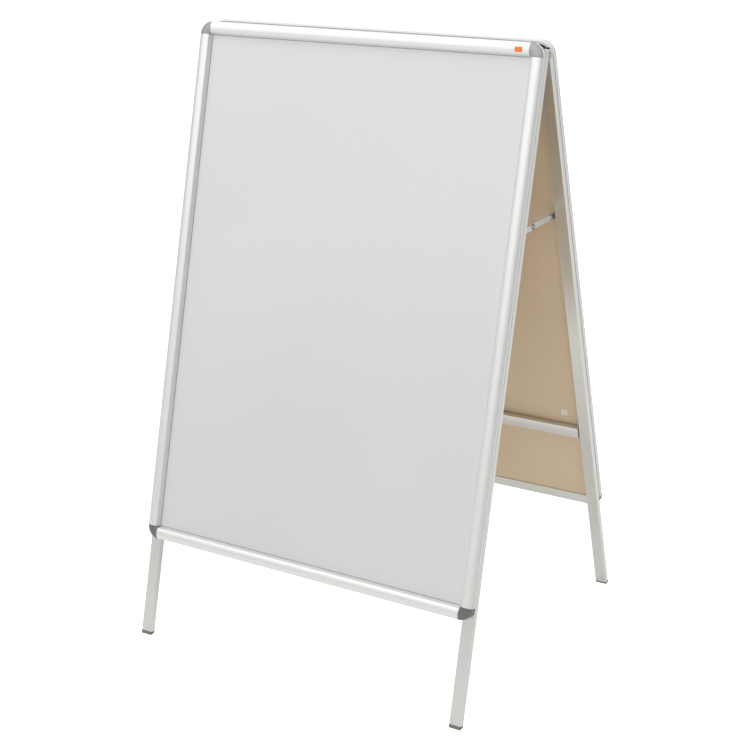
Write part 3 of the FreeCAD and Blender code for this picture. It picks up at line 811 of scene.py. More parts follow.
class GeometryTrees:
    """The board's geometry trees, each built once."""

    def __init__(self) -> None:
        """Starts with no tree built."""
        self._built: dict[str, bpy.types.NodeTree] = {}

    def get(self, name: str) -> bpy.types.NodeTree:
        """Returns a tree, building it the first time.

        Args:
            name: "extrusion", "rivets" or "leaf_springs".

        Returns:
            The geometry tree.
        """
        if name not in self._built:
            self._built[name] = getattr(self, f"_{name}")()
        return self._built[name]

    @staticmethod
    def _extrusion() -> bpy.types.NodeTree:
        """A closed outline drawn out along Z, with both ends capped."""
        sketch = GeometrySketch("extrusion", [("Length", "NodeSocketFloat", 1.0),
                                              ("Material", "NodeSocketMaterial", None)])
        outline = sketch.node("GeometryNodeMeshToCurve", {0: sketch.given["Geometry"]}).outputs[0]
        face = sketch.node("GeometryNodeFillCurve", {0: outline}, mode="NGONS").outputs[0]
        drawn = sketch.node("GeometryNodeExtrudeMesh", {
            "Mesh": face, "Offset": sketch.xyz(z=1.0), "Offset Scale": sketch.given["Length"],
            "Individual": False})
        start = sketch.node("GeometryNodeFlipFaces", {0: face}).outputs[0]
        closed = sketch.node("GeometryNodeMergeByDistance", {
            "Geometry": sketch.join(drawn.outputs["Mesh"], start), "Distance": WELD})
        return sketch.close(closed.outputs[0])

    @staticmethod
    def _rivets() -> bpy.types.NodeTree:
        """A domed rivet on each point: shank, head, and a closed tail, all along one axis."""
        lengths = {"Shank Radius": 2.0, "Shank Length": 2.0, "Head Radius": 3.0, "Head Height": 1.0,
                   "Tail Radius": 3.0, "Tail Height": 1.0}
        sketch = GeometrySketch("rivets", [
            ("Axis", "NodeSocketVector", (0.0, 0.0, 1.0)),
            *((name, "NodeSocketFloat", length * MM) for name, length in lengths.items()),
            ("Material", "NodeSocketMaterial", None)])
        given = sketch.given
        shank = sketch.node("GeometryNodeMeshCylinder", {
            "Vertices": 32, "Radius": given["Shank Radius"], "Depth": given["Shank Length"]}).outputs["Mesh"]
        ball = sketch.node("GeometryNodeMeshUVSphere", {
            "Segments": 32, "Rings": 12, "Radius": 1.0}).outputs["Mesh"]
        half = sketch.math("MULTIPLY", given["Shank Length"], 0.5)
        ends = []
        for end, sign in (("Head", 1.0), ("Tail", -1.0)):
            radius, height = given[f"{end} Radius"], given[f"{end} Height"]
            rim = sketch.math("MULTIPLY", height, 0.25)
            dome = sketch.move(ball, sketch.xyz(z=sketch.math("MULTIPLY", sketch.math("ADD", half, rim), sign)),
                               scale=sketch.xyz(radius, radius, sketch.math("MULTIPLY", height, 0.75)))
            collar = sketch.node("GeometryNodeMeshCylinder", {"Vertices": 32, "Radius": radius, "Depth": rim})
            middle = sketch.math("MULTIPLY", sketch.math("ADD", half, sketch.math("MULTIPLY", rim, 0.5)), sign)
            ends += [dome, sketch.move(collar.outputs["Mesh"], sketch.xyz(z=middle))]
        rivet = sketch.join(shank, *ends)
        turn = sketch.node("FunctionNodeAlignRotationToVector", {"Vector": given["Axis"]}, axis="Z").outputs[0]
        placed = sketch.node("GeometryNodeInstanceOnPoints", {
            "Points": given["Geometry"], "Instance": rivet, "Rotation": turn}).outputs[0]
        return sketch.close(placed)

    @staticmethod
    def _leaf_springs() -> bpy.types.NodeTree:
        """A bowed leaf spring along X, arched towards Y."""
        lengths = {"Length": 46.0, "Width": 5.0, "Bow": 2.6, "Thickness": 0.5}
        sketch = GeometrySketch("leaf_springs", [
            *((name, "NodeSocketFloat", length * MM) for name, length in lengths.items()),
            ("Material", "NodeSocketMaterial", None)])
        given = sketch.given
        grid = sketch.node("GeometryNodeMeshGrid", {
            "Size X": given["Length"], "Size Y": given["Width"], "Vertices X": 25,
            "Vertices Y": 3}).outputs["Mesh"]
        place = sketch.node("ShaderNodeSeparateXYZ", {0: sketch.node("GeometryNodeInputPosition").outputs[0]})
        ratio = sketch.math("DIVIDE", sketch.math("MULTIPLY", place.outputs["X"], 2.0), given["Length"])
        rise = sketch.math("SUBTRACT", 1.0, sketch.math("MULTIPLY", ratio, ratio))
        bowed = sketch.node("GeometryNodeSetPosition", {
            "Geometry": grid, "Offset": sketch.xyz(z=sketch.math("MULTIPLY", rise, given["Bow"]))}).outputs[0]
        thick = sketch.node("GeometryNodeExtrudeMesh", {
            "Mesh": bowed, "Offset": sketch.xyz(z=1.0), "Offset Scale": given["Thickness"],
            "Individual": False})
        under = sketch.node("GeometryNodeFlipFaces", {0: bowed}).outputs[0]
        leaf = sketch.node("GeometryNodeMergeByDistance", {
            "Geometry": sketch.join(thick.outputs["Mesh"], under), "Distance": WELD}).outputs[0]
        placed = sketch.node("GeometryNodeInstanceOnPoints", {
            "Points": given["Geometry"], "Instance": leaf}).outputs[0]
        return sketch.close(placed)


# ---- building pieces ---------------------------------------------------------------------------------------


@dataclass
class Workshop:
    """Makes finished pieces: meshes at the origin, dressed, and riding on a body."""

    finishes: FinishSet
    trees: GeometryTrees = field(default_factory=GeometryTrees)

    @staticmethod
    def raw(name: str, points: Iterable[Sequence[float]], edges: Sequence[tuple[int, int]] = (),
            faces: Sequence[Sequence[int]] = ()) -> bpy.types.Object:
        """Makes an object from plain mesh data.

        Args:
            name: The object's name.
            points: Its vertices.
            edges: Its loose edges.
            faces: Its faces.

        Returns:
            The new object.
        """
        mesh = bpy.data.meshes.new(name)
        mesh.from_pydata([tuple(p) for p in points], list(edges), [tuple(f) for f in faces])
        made = bpy.data.objects.new(name, mesh)
        bpy.context.scene.collection.objects.link(made)
        return made

    @classmethod
    def cast(cls, name: str, shape: bmesh.types.BMesh) -> bpy.types.Object:
        """Turns a finished bmesh into an object, and frees it."""
        piece = cls.raw(name, [])
        shape.to_mesh(piece.data)
        shape.free()
        return piece

    def grow(self, source: bpy.types.Object, tree: str, material: str, **values: object) -> bpy.types.Object:
        """Runs a geometry tree on an object and keeps the result as plain mesh.

        Args:
            source: The object whose mesh feeds the tree.
            tree: The tree's name.
            material: The finish's name.
            values: Values for the tree's other inputs, with underscores for spaces.

        Returns:
            The same object with its new mesh.
        """
        modifier = source.modifiers.new(tree, "NODES")
        modifier.node_group = self.trees.get(tree)
        sockets = {s.name: s.identifier for s in modifier.node_group.interface.items_tree
                   if s.item_type == "SOCKET" and s.in_out == "INPUT"}
        modifier[sockets["Material"]] = self.finishes.get(material)
        for name, value in values.items():
            modifier[sockets[name.replace("_", " ")]] = value
        return self.bake(source)

    @staticmethod
    def bake(source: bpy.types.Object) -> bpy.types.Object:
        """Turns an object's modifiers into plain mesh.

        Args:
            source: The object.

        Returns:
            The same object, with its final mesh and no modifier.
        """
        bpy.context.view_layer.update()
        seen = source.evaluated_get(bpy.context.evaluated_depsgraph_get())
        mesh = bpy.data.meshes.new_from_object(seen)
        source.modifiers.clear()
        source.data = mesh
        return source

    @staticmethod
    def smooth(piece: bpy.types.Object, degrees: float = 30.0) -> None:
        """Shades a piece smooth except at edges sharper than an angle.

        Args:
            piece: The object.
            degrees: The angle.
        """
        shape = bmesh.new()
        shape.from_mesh(piece.data)
        for face in shape.faces:
            face.smooth = True
        for edge in shape.edges:
            edge.smooth = edge.is_manifold and edge.calc_face_angle(0.0) < math.radians(degrees)
        shape.to_mesh(piece.data)
        shape.free()

    @staticmethod
    def soften(piece: bpy.types.Object, width: float) -> None:
        """Rounds a piece's sharp edges.

        Args:
            piece: The object.
            width: The rounding's width.
        """
        bevel = piece.modifiers.new("soften", "BEVEL")
        bevel.width = width
        bevel.segments = 2
        bevel.limit_method = "ANGLE"
        bevel.angle_limit = math.radians(SHARP_EDGE)
        Workshop.bake(piece)

    def dress(self, piece: bpy.types.Object, material: str) -> None:
        """Gives every face of a piece one finish.

        Args:
            piece: The object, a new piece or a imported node.
            material: The finish's name.
        """
        piece.data.materials.clear()
        piece.data.materials.append(self.finishes.get(material))

    def dress_and_issue(self, piece: bpy.types.Object, body: str, material: str,
                        *nodes: str) -> bpy.types.Object:
        """Dresses a piece and sends it out onto its body."""
        self.dress(piece, material)
        return self.issue(piece, body, material, *nodes)

    def issue(self, piece: bpy.types.Object, body: str, material: str, *nodes: str) -> bpy.types.Object:
        """Sends a finished piece out onto its body.

        Args:
            piece: The object, at the origin.
            body: The body that it rides on.
            material: Name of its main finish.
            nodes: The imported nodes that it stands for.

        Returns:
            The piece.
        """
        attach(piece, body)
        self.finishes.slot(material)
        if nodes:
            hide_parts(*nodes)
        LOG.info("%s rides on %s, %d faces", piece.name, body, len(piece.data.polygons))
        return piece


@dataclass(frozen=True)
class Stance:
    """How the panels stand: their lean and their hinge's height."""

    lean: float
    hinge_height: float

    @classmethod
    def read(cls, record: dict) -> Stance:
        """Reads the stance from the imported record's fold joint."""
        fold = next(j for j in record["behaviour"]["joints"] if j["name"] == "panel_fold")
        return cls(math.radians(-fold["range_deg"][0]) / 2, fold["pos_m"][2])

    def matrix(self, panel: Panel) -> Matrix:
        """Matrix from a panel's own upright frame (X across, -Y out, -Z down) to the row frame."""
        lift = Matrix.Translation((0, 0, self.hinge_height))
        if panel is Panel.FRONT:
            return lift @ Matrix.Rotation(-self.lean, 4, "X")
        return lift @ Matrix.Rotation(self.lean, 4, "X") @ Matrix.Rotation(math.pi, 4, "Z")

    def point(self, panel: Panel, across: float, down: float, out: float) -> Vector:
        """A point in the row frame from its place on a panel."""
        return self.matrix(panel) @ Vector((across, -out, -down))

    def direction(self, panel: Panel, across: float, down: float, out: float) -> Vector:
        """A direction in the row frame from a direction on a panel."""
        return self.matrix(panel).to_3x3() @ Vector((across, -out, -down))


@dataclass(frozen=True)
class Outline:
    """A closed outline on a section, with helpers that draw arcs and ease corners."""

    points: list[Point]

    @staticmethod
    def turn(centre: Point, radius: float, start: float, end: float, steps: int) -> list[Point]:
        """Points on an arc.

        Args:
            centre: The arc's centre.
            radius: Its radius.
            start: First angle in degrees.
            end: Last angle in degrees.
            steps: Number of steps.

        Returns:
            The points, first and last included.
        """
        angles = [math.radians(start + (end - start) * i / steps) for i in range(steps + 1)]
        return [(centre[0] + radius * math.cos(a), centre[1] + radius * math.sin(a)) for a in angles]

    def eased(self, radius: float, least: float = 25.0) -> Outline:
        """The outline with its corners rounded off.

        Args:
            radius: Distance cut back from each corner.
            least: Corners that turn less than this many degrees stay as they are.

        Returns:
            The eased outline.
        """
        count, eased = len(self.points), []
        for i, corner in enumerate(self.points):
            here = Vector(corner)
            back, on = Vector(self.points[i - 1]) - here, Vector(self.points[(i + 1) % count]) - here
            turned = 180.0 - math.degrees(back.angle(on, 0.0)) if back.length and on.length else 0.0
            if turned < least:
                eased.append(corner)
                continue
            cut = min(radius, 0.4 * back.length, 0.4 * on.length)
            a, b = here + back.normalized() * cut, here + on.normalized() * cut
            middle = here * 0.45 + (a + b) * 0.275
            eased += [tuple(a), tuple(middle), tuple(b)]
        return Outline(eased)

    def wire(self, name: str) -> bpy.types.Object:
        """The outline as a closed wire in the XY plane, turning left."""
        area = sum(a[0] * b[1] - b[0] * a[1] for a, b in zip(self.points, self.points[1:] + self.points[:1]))
        points = self.points if area > 0 else self.points[::-1]
        count = len(points)
        return Workshop.raw(name, [(x, y, 0.0) for x, y in points],
                            [(i, (i + 1) % count) for i in range(count)])


@dataclass(frozen=True)
class SnapSection:
    """Section of the snap frame: (inset, out) on each member, from the base's back to the cover's crown."""

    back: float = 11.10 * MM
    base_wall: float = 1.3 * MM
    outer_wall: float = 1.2 * MM
    back_flange: float = 19.7 * MM
    tip_width: float = 3.0 * MM
    tip_wall: float = 0.5 * MM
    seam_depth: float = 3.0 * MM
    seam_ease: float = 0.8 * MM
    pivot: Point = (2.4 * MM, 21.7 * MM)
    bead_radius: float = 1.2 * MM
    bead_clearance: float = 0.2 * MM
    nose_radius: float = 2.4 * MM
    sweep_clearance: float = 0.3 * MM
    neck_height: float = 1.2 * MM
    post_wall: float = 1.3 * MM
    web_inset: float = 12.9 * MM
    web_wall: float = 1.2 * MM
    web_height: float = 3.7 * MM
    width: float = 21.25 * MM
    cover_wall: float = 1.2 * MM
    crown: Point = (10.2 * MM, 27.0 * MM)
    shoulder: Point = (18.3 * MM, 24.5 * MM)
    lip_out: float = 16.7 * MM
    knee_rise: float = 1.7 * MM
    flare: float = 0.7 * MM
    corner_drop: float = 3.6 * MM
    nose_start: float = 240.0
    nose_end: float = 120.0
    hook_end: float = 40.0
    edge: float = 0.18 * MM

    def round_pivot(self, angle: float, radius: float) -> Point:
        """Point at an angle in degrees and a radius round the cover's pivot."""
        turn = math.radians(angle)
        return self.pivot[0] + radius * math.cos(turn), self.pivot[1] + radius * math.sin(turn)

    def dome(self, inset: float, depth: float = 0.0) -> Point:
        """Point of the cover's dome at an inset, or of the surface a depth under it."""
        x1, y1 = self.round_pivot(self.nose_end, self.nose_radius)
        (x2, y2), (x3, y3) = self.crown, self.shoulder
        scale = 2 * (x1 * (y2 - y3) + x2 * (y3 - y1) + x3 * (y1 - y2))
        s1, s2, s3 = x1 * x1 + y1 * y1, x2 * x2 + y2 * y2, x3 * x3 + y3 * y3
        cx = (s1 * (y2 - y3) + s2 * (y3 - y1) + s3 * (y1 - y2)) / scale
        cy = (s1 * (x3 - x2) + s2 * (x1 - x3) + s3 * (x2 - x1)) / scale
        radius = math.hypot(x1 - cx, y1 - cy) - depth
        return inset, cy + math.sqrt(radius ** 2 - (inset - cx) ** 2)

    def dome_run(self, start: float, end: float, steps: int, depth: float = 0.0) -> list[Point]:
        """Points along the dome between two insets, ends included."""
        return [self.dome(start + (end - start) * i / steps, depth) for i in range(steps + 1)]

    def cover(self) -> Outline:
        """Outline of a snap cover: hook, dome and lip."""
        bore = self.bead_radius + self.bead_clearance
        nose = Outline.turn(self.pivot, self.nose_radius, self.nose_start, self.nose_end, 20)
        top = self.dome_run(nose[-1][0], self.shoulder[0], 22)[1:]
        inner_shoulder = self.shoulder[0] - self.cover_wall
        root = self.round_pivot(self.hook_end, self.nose_radius)
        lip = [
            (self.width - self.flare, self.lip_out + self.knee_rise),
            (self.width, self.lip_out),
            (self.width - self.cover_wall, self.lip_out),
            (self.width - self.flare - self.cover_wall, self.lip_out + self.knee_rise),
        ]
        under = self.dome_run(inner_shoulder, root[0], 18, self.cover_wall)
        hook = Outline.turn(self.pivot, bore, self.hook_end, self.nose_start, 20)
        return Outline(nose + top + lip + under + [root] + hook).eased(self.edge)

    def base(self) -> Outline:
        """Outline of a base profile: back, outer wall, post with its bead, and web."""
        front = self.back + self.base_wall
        swept = self.nose_radius + self.sweep_clearance
        x, y = self.pivot
        wall_top = y - math.sqrt(swept ** 2 - (x - self.outer_wall) ** 2)
        post = (x + swept, x + swept + self.post_wall)
        waist = y + self.bead_radius * 0.1
        neck = (waist - self.neck_height / 2, waist + self.neck_height / 2)
        rise = [math.degrees(math.asin((n - y) / self.bead_radius)) for n in neck]
        web = (self.web_inset, self.web_inset + self.web_wall)
        tip = (self.back_flange - self.tip_width, self.back + self.tip_wall)
        floor = front + self.base_wall
        points = [(self.seam_depth, self.back), (self.back_flange, self.back), (self.back_flange, tip[1]),
                  tip, (tip[0], front), (web[1], front), (web[1], front + self.web_height),
                  (web[0], front + self.web_height), (web[0], front), (post[1], front), (post[1], neck[1])]
        points += Outline.turn(self.pivot, self.bead_radius, rise[1], rise[0] + 360.0, 22)
        points += [(post[0], neck[0]), (post[0], floor), (self.outer_wall, floor), (self.outer_wall, wall_top),
                   (0.0, wall_top), (0.0, front + self.seam_ease), (self.seam_depth, front + self.seam_ease)]
        return Outline(points).eased(self.edge)

    def corner(self) -> Outline:
        """Outline of a corner piece, which is turned about its inner edge."""
        nose = Outline.turn(self.pivot, self.nose_radius, 180.0, self.nose_end, 10)
        top = self.dome_run(nose[-1][0], self.shoulder[0], 22)[1:]
        middle = (self.width, self.shoulder[1] - self.corner_drop)
        step = [(self.width, self.back), (self.seam_depth, self.back),
                (self.seam_depth, self.back + self.base_wall), (0.0, self.back + self.base_wall)]
        return Outline(nose + top + [middle] + step)


@dataclass
class SnapFrame:
    """The snap frame of one panel: base profiles, hinged covers and corner pieces."""

    panel: Panel
    stance: Stance
    shop: Workshop
    section: SnapSection = field(default_factory=SnapSection)
    width: float = 624.0 * MM
    height: float = 871.0 * MM
    rise: float = 14.7 * MM
    end_gap: float = 0.3 * MM
    corner_steps: int = 28
    corner_edge: float = 0.25 * MM
    corner_smooth: float = 40.0

    def member_matrix(self, side: Side, length: float) -> Matrix:
        """Matrix from a member's (inset, out, along) to the row frame, with along starting at one end."""
        top, bottom, half = self.rise, self.rise - self.height, self.width / 2
        middle = (top + bottom) / 2
        inwards, along, start = {
            Side.TOP: ((0, 0, -1), (-1, 0, 0), (length / 2, 0, top)),
            Side.BOTTOM: ((0, 0, 1), (1, 0, 0), (-length / 2, 0, bottom)),
            Side.LEFT: ((1, 0, 0), (0, 0, -1), (-half, 0, middle + length / 2)),
            Side.RIGHT: ((-1, 0, 0), (0, 0, 1), (half, 0, middle - length / 2)),
        }[side]
        columns = (Vector(inwards), Vector((0, -1, 0)), Vector(along), Vector(start))
        local = Matrix([[c[row] for c in columns] for row in range(3)] + [[0, 0, 0, 1]])
        return self.stance.matrix(self.panel) @ local

    def member_length(self, side: Side) -> float:
        """Length of a member between its two corner pieces."""
        full = self.width if side in (Side.TOP, Side.BOTTOM) else self.height
        return full - 2 * self.section.width

    def finish(self, side: Side) -> str:
        """Name of the finish whose drawn lines run along a member."""
        if side in (Side.TOP, Side.BOTTOM):
            return f"anodised_frame_{Grain.ACROSS.value}"
        return f"anodised_frame_down_{self.panel.value}"

    def member(self, side: Side, kind: str, outline: Outline, gap: float, body: str) -> bpy.types.Object:
        """Makes one member.

        Args:
            side: Its side of the frame.
            kind: "cover" or "base".
            outline: Its section.
            gap: Distance left free at each end.
            body: The body that it rides on.

        Returns:
            The finished piece.
        """
        name = f"{self.panel.value}_{kind}_{side.seen_from_front(self.panel)}"
        length = self.member_length(side) - 2 * gap
        piece = outline.wire(f"{name}_extrusion")
        self.shop.grow(piece, "extrusion", self.finish(side), Length=length)
        piece.data.transform(self.member_matrix(side, length))
        self.shop.smooth(piece)
        return self.shop.issue(piece, body, self.finish(side), name)

    def corner(self, top: bool, right: bool) -> bpy.types.Object:
        """Makes one corner piece: the frame's section turned through a quarter about its inner edge."""
        outline = self.section.corner().points
        side = Side.RIGHT if right else Side.LEFT
        name = f"{self.panel.value}_corner_{'top' if top else 'bottom'}_{side.seen_from_front(self.panel)}"
        sign_x, sign_z = 1 if right else -1, 1 if top else -1
        centre_x = (self.width / 2 - self.section.width) * sign_x
        centre_z = self.rise - self.section.width if top else self.rise - self.height + self.section.width
        reach = [(self.section.width - inset, out) for inset, out in outline]
        shape = bmesh.new()
        rings = []
        for step in range(self.corner_steps + 1):
            turn = math.pi / 2 * step / self.corner_steps
            rings.append([shape.verts.new((centre_x + sign_x * r * math.cos(turn), -out,
                                           centre_z + sign_z * r * math.sin(turn))) for r, out in reach])
        count = len(outline)
        for one, two in zip(rings, rings[1:]):
            for i in range(count):
                j = (i + 1) % count
                shape.faces.new((one[i], one[j], two[j], two[i]))
        shape.faces.new(rings[0])
        shape.faces.new(rings[-1][::-1])
        bmesh.ops.remove_doubles(shape, verts=shape.verts, dist=WELD)
        bmesh.ops.dissolve_degenerate(shape, edges=shape.edges, dist=WELD)
        bmesh.ops.recalc_face_normals(shape, faces=shape.faces)
        piece = self.shop.cast(f"{name}_cap", shape)
        self.shop.soften(piece, self.corner_edge)
        piece.data.transform(self.stance.matrix(self.panel))
        self.shop.smooth(piece, self.corner_smooth)
        return self.shop.dress_and_issue(piece, self.panel.body, "corner_plastic", name)

    def build(self) -> None:
        """Makes the whole frame."""
        for side in Side:
            cover = f"{self.panel.value}_cover_{side.seen_from_front(self.panel)}"
            self.member(side, "cover", self.section.cover(), self.end_gap, cover)
            self.member(side, "base", self.section.base(), 0.0, self.panel.body)
        for top in (True, False):
            for right in (True, False):
                self.corner(top, right)


@dataclass
class Fixings:
    """The small metal pieces of one panel: leg rivets, stay rivets and leaf springs."""

    panel: Panel
    frame: SnapFrame
    stance: Stance
    shop: Workshop
    rivet_inset: float = 9.65 * MM
    rivet_rows: int = 4
    rivet_margin: float = 62.0 * MM
    leg_wall: float = 1.2 * MM
    springs: dict[Side, int] = field(default_factory=lambda: {
        Side.TOP: 2, Side.BOTTOM: 2, Side.LEFT: 3, Side.RIGHT: 3})
    stay_down: float = 274.5 * MM
    stay_out: float = 5.98 * MM
    leg_side: float = 291.3 * MM
    link_offset: float = 2.4 * MM
    link_wall: float = 1.5 * MM
    link_spacing: float = 0.4 * MM
    spring_lift: float = 0.05 * MM
    shank: float = 2.0 * MM
    leg_head: Point = (2.8 * MM, 1.0 * MM)
    pivot_head: Point = (3.4 * MM, 1.0 * MM)
    pivot_play: float = 0.2 * MM
    spacer_radius: float = 5.4 * MM
    spacer_face: Point = (5.2 * MM, 0.1 * MM)
    spacer_play: float = 0.3 * MM
    knee_head: Point = (2.5 * MM, 0.9 * MM)
    knee_tail: Point = (1.9 * MM, 0.02 * MM)
    # painted dark reflection: near-black disc under each knee rivet's dome
    washer: Point = (4.7 * MM, 0.2 * MM)
    washer_face: Point = (4.5 * MM, 0.05 * MM)
    washer_lift: float = 0.15 * MM

    def domed(self, name: str, points: Iterable[Sequence[float]], axis: Sequence[float], material: str,
              shank: Point, head: Point, tail: Point) -> bpy.types.Object:
        """Makes rivets, spacers or washers, one on each point.

        Args:
            name: The piece's name.
            points: The middles of their shanks.
            axis: The direction of their heads.
            material: The finish's name.
            shank: Radius and length of the shanks.
            head: Radius and height of the heads.
            tail: Radius and height of the tails.

        Returns:
            The piece, still to be issued.
        """
        piece = self.shop.raw(name, points)
        self.shop.grow(piece, "rivets", material, Axis=axis, Shank_Radius=shank[0], Shank_Length=shank[1],
                       Head_Radius=head[0], Head_Height=head[1], Tail_Radius=tail[0], Tail_Height=tail[1])
        self.shop.smooth(piece)
        return piece

    def leg_rivets(self) -> bpy.types.Object:
        """Rivets through each leg and the base profile behind its cover."""
        section, frame = self.frame.section, self.frame
        first = -frame.rise + self.rivet_margin
        step = (frame.height - 2 * self.rivet_margin) / (self.rivet_rows - 1)
        inner, outer = section.back - self.leg_wall, section.back + section.base_wall
        across = frame.width / 2 - self.rivet_inset
        points = [self.stance.point(self.panel, sign * across, first + step * i, (inner + outer) / 2)
                  for sign in (-1, 1) for i in range(self.rivet_rows)]
        name = f"{self.panel.value}_leg_rivets"
        axis = self.stance.direction(self.panel, 0, 0, 1)
        piece = self.domed(f"{name}_domed", points, axis, "plated_steel", (self.shank, outer - inner),
                           self.leg_head, self.leg_head)
        return self.shop.issue(piece, self.panel.body, "plated_steel", name)

    def leaf_springs(self) -> bpy.types.Object:
        """Bowed leaf springs in the channels under the covers."""
        section, name = self.frame.section, f"{self.panel.value}_cover_springs"
        shape = bmesh.new()
        for side, count in self.springs.items():
            length = self.frame.member_length(side)
            place = [(length * (i + 0.5) / count, 0.0, 0.0) for i in range(count)]
            row = self.shop.raw(f"{name}_{side.value}", place)
            self.shop.grow(row, "leaf_springs", "spring_steel")
            inset = Matrix(((0, 1, 0, self.rivet_inset),
                            (0, 0, 1, section.back + section.base_wall + self.spring_lift),
                            (1, 0, 0, 0), (0, 0, 0, 1)))
            row.data.transform(self.frame.member_matrix(side, length) @ inset)
            shape.from_mesh(row.data)
            bpy.data.objects.remove(row)
        bmesh.ops.recalc_face_normals(shape, faces=shape.faces)
        piece = self.shop.cast(f"{name}_leaves", shape)
        self.shop.smooth(piece)
        return self.shop.dress_and_issue(piece, self.panel.body, "spring_steel", name)

    def stay_pivots(self) -> None:
        """Rivets that carry the stay's links, each with a near-black spacer against the leg, whose colour also
        stands as painted shade for the dark gap between link and leg.
        """
        panel, shop = self.panel, self.shop
        high = self.leg_side - self.link_offset
        if panel is Panel.REAR:
            high -= self.link_wall + self.link_spacing
        low = high - self.link_wall
        height = self.stance.point(panel, 0, self.stay_down, self.stay_out)
        across = (low + self.leg_side + self.leg_wall) / 2
        name = f"{panel.value}_stay_pivots"
        axis = (1.0, 0.0, 0.0)
        reach = self.leg_side + self.leg_wall - low + self.pivot_play
        rivets = self.domed(f"{name}_domed", [(sign * across, height.y, height.z) for sign in (-1, 1)], axis,
                            "plated_steel", (self.shank, reach), self.pivot_head, self.pivot_head)
        shop.issue(rivets, panel.body, "plated_steel", name)
        middle, depth = (high + self.leg_side) / 2, self.leg_side - high - self.spacer_play
        # painted shade: the spacers' near-black plastic also stands for the shade in the gap between link and
        # leg
        spacers = self.domed(f"{panel.value}_stay_spacers",
                             [(sign * middle, height.y, height.z) for sign in (-1, 1)], axis, "foot_plastic",
                             (self.spacer_radius, depth), self.spacer_face, self.spacer_face)
        shop.issue(spacers, panel.body, "foot_plastic")

    def knee_rivets(self) -> None:
        """Domed rivets at the stays' middles, which ride on the front links, each over a near-black disc that
        is a painted dark reflection: the dark ring round the shiny dome.
        """
        high = self.leg_side - self.link_offset
        height = self.stance.point(self.panel, 0, self.stay_down, self.stay_out).z
        for side, sign in (("left", -1), ("right", 1)):
            name, body, axis = f"knee_rivet_{side}", f"front_stay_{side}", (float(sign), 0.0, 0.0)
            rivet = self.domed(f"{name}_domed", [(sign * (high - self.link_wall / 2), 0.0, height)], axis,
                               "plated_steel", (self.shank, self.link_wall), self.knee_head, self.knee_tail)
            self.shop.issue(rivet, body, "plated_steel", name)
            # painted dark reflection: near-black disc, in hinge_plastic's painted shade, round the dome
            washer = self.domed(f"knee_washer_{side}", [(sign * (high + self.washer_lift), 0.0, height)], axis,
                                "hinge_plastic", self.washer, self.washer_face, self.washer_face)
            self.shop.issue(washer, body, "hinge_plastic")

    def build(self) -> None:
        """Makes all fixings of the panel, and the stays' knees with the front one."""
        self.leg_rivets()
        self.leaf_springs()
        self.stay_pivots()
        if self.panel is Panel.FRONT:
            self.knee_rivets()


@dataclass
class CarriedNodes:
    """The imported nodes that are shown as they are, each with its finish."""

    shop: Workshop
    nodes: dict[str, bpy.types.Object]

    def finish(self, name: str) -> str:
        """Name of the finish for a node.

        Args:
            name: The node's name.

        Returns:
            The finish's name.
        """
        panel = "rear" if name.startswith("rear") else "front"
        rules = [("_cross_bar_plugs", "foot_plastic"), ("_foot_", "foot_plastic"),
                 ("_cross_bar", f"anodised_leg_{Grain.ACROSS.value}"), ("_leg_rivets", "plated_steel"),
                 ("_leg_", f"anodised_leg_down_{panel}"), ("_backing_board", "brown_hardboard"),
                 ("_poster", "white_paper"), ("_clear_sheet", "anti_glare_sheet"),
                 ("_hinge_insert", "hinge_plastic"), ("_cover_springs", "spring_steel"),
                 ("_corner_", "corner_plastic")]
        rules += [(f"_{kind}_{end}", f"anodised_frame_{Grain.ACROSS.value}")
                  for kind in ("base", "cover") for end in ("top", "bottom")]
        rules += [(f"_{kind}_", f"anodised_frame_down_{panel}") for kind in ("base", "cover")]
        return next((finish for part, finish in rules if part in name), "plated_steel")

    def build(self) -> None:
        """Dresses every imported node, the hidden ones too."""
        for name, node in self.nodes.items():
            self.shop.dress(node, self.finish(name))


@dataclass
class EasedCopies:
    """Feet, bars, links and hinge blocks with finely rounded edges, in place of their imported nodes."""

    shop: Workshop
    carried: CarriedNodes
    bodies: dict[str, list[str]]
    widths: dict[str, float] = field(default_factory=lambda: {
        "_foot_": 0.6 * MM, "_cross_bar": 0.3 * MM, "_stay_left": 0.25 * MM, "_stay_right": 0.25 * MM,
        "_hinge_insert_": 0.3 * MM, "hinge_pin_": 0.3 * MM})
    weld: float = 0.001 * MM
    flat: float = 0.2

    def copy(self, name: str, body: str, width: float) -> bpy.types.Object:
        """Makes the copy of one node.

        Args:
            name: The node's name.
            body: The body that it rides on.
            width: Width of the rounding.

        Returns:
            The finished piece.
        """
        node = self.carried.nodes[name]
        shape = bmesh.new()
        shape.from_mesh(node.data)
        shape.transform(node.matrix_world)
        bmesh.ops.remove_doubles(shape, verts=shape.verts, dist=self.weld)
        bmesh.ops.dissolve_limit(shape, angle_limit=math.radians(self.flat), verts=shape.verts,
                                 edges=shape.edges)
        piece = self.shop.cast(f"{name}_eased", shape)
        self.shop.soften(piece, width)
        self.shop.smooth(piece)
        return self.shop.dress_and_issue(piece, body, self.carried.finish(name), name)

    def build(self) -> None:
        """Makes every copy."""
        for body, names in self.bodies.items():
            for name in names:
                width = next((w for part, w in self.widths.items() if part in name), 0.0)
                if width and not name.endswith("_plugs"):
                    self.copy(name, body, width)


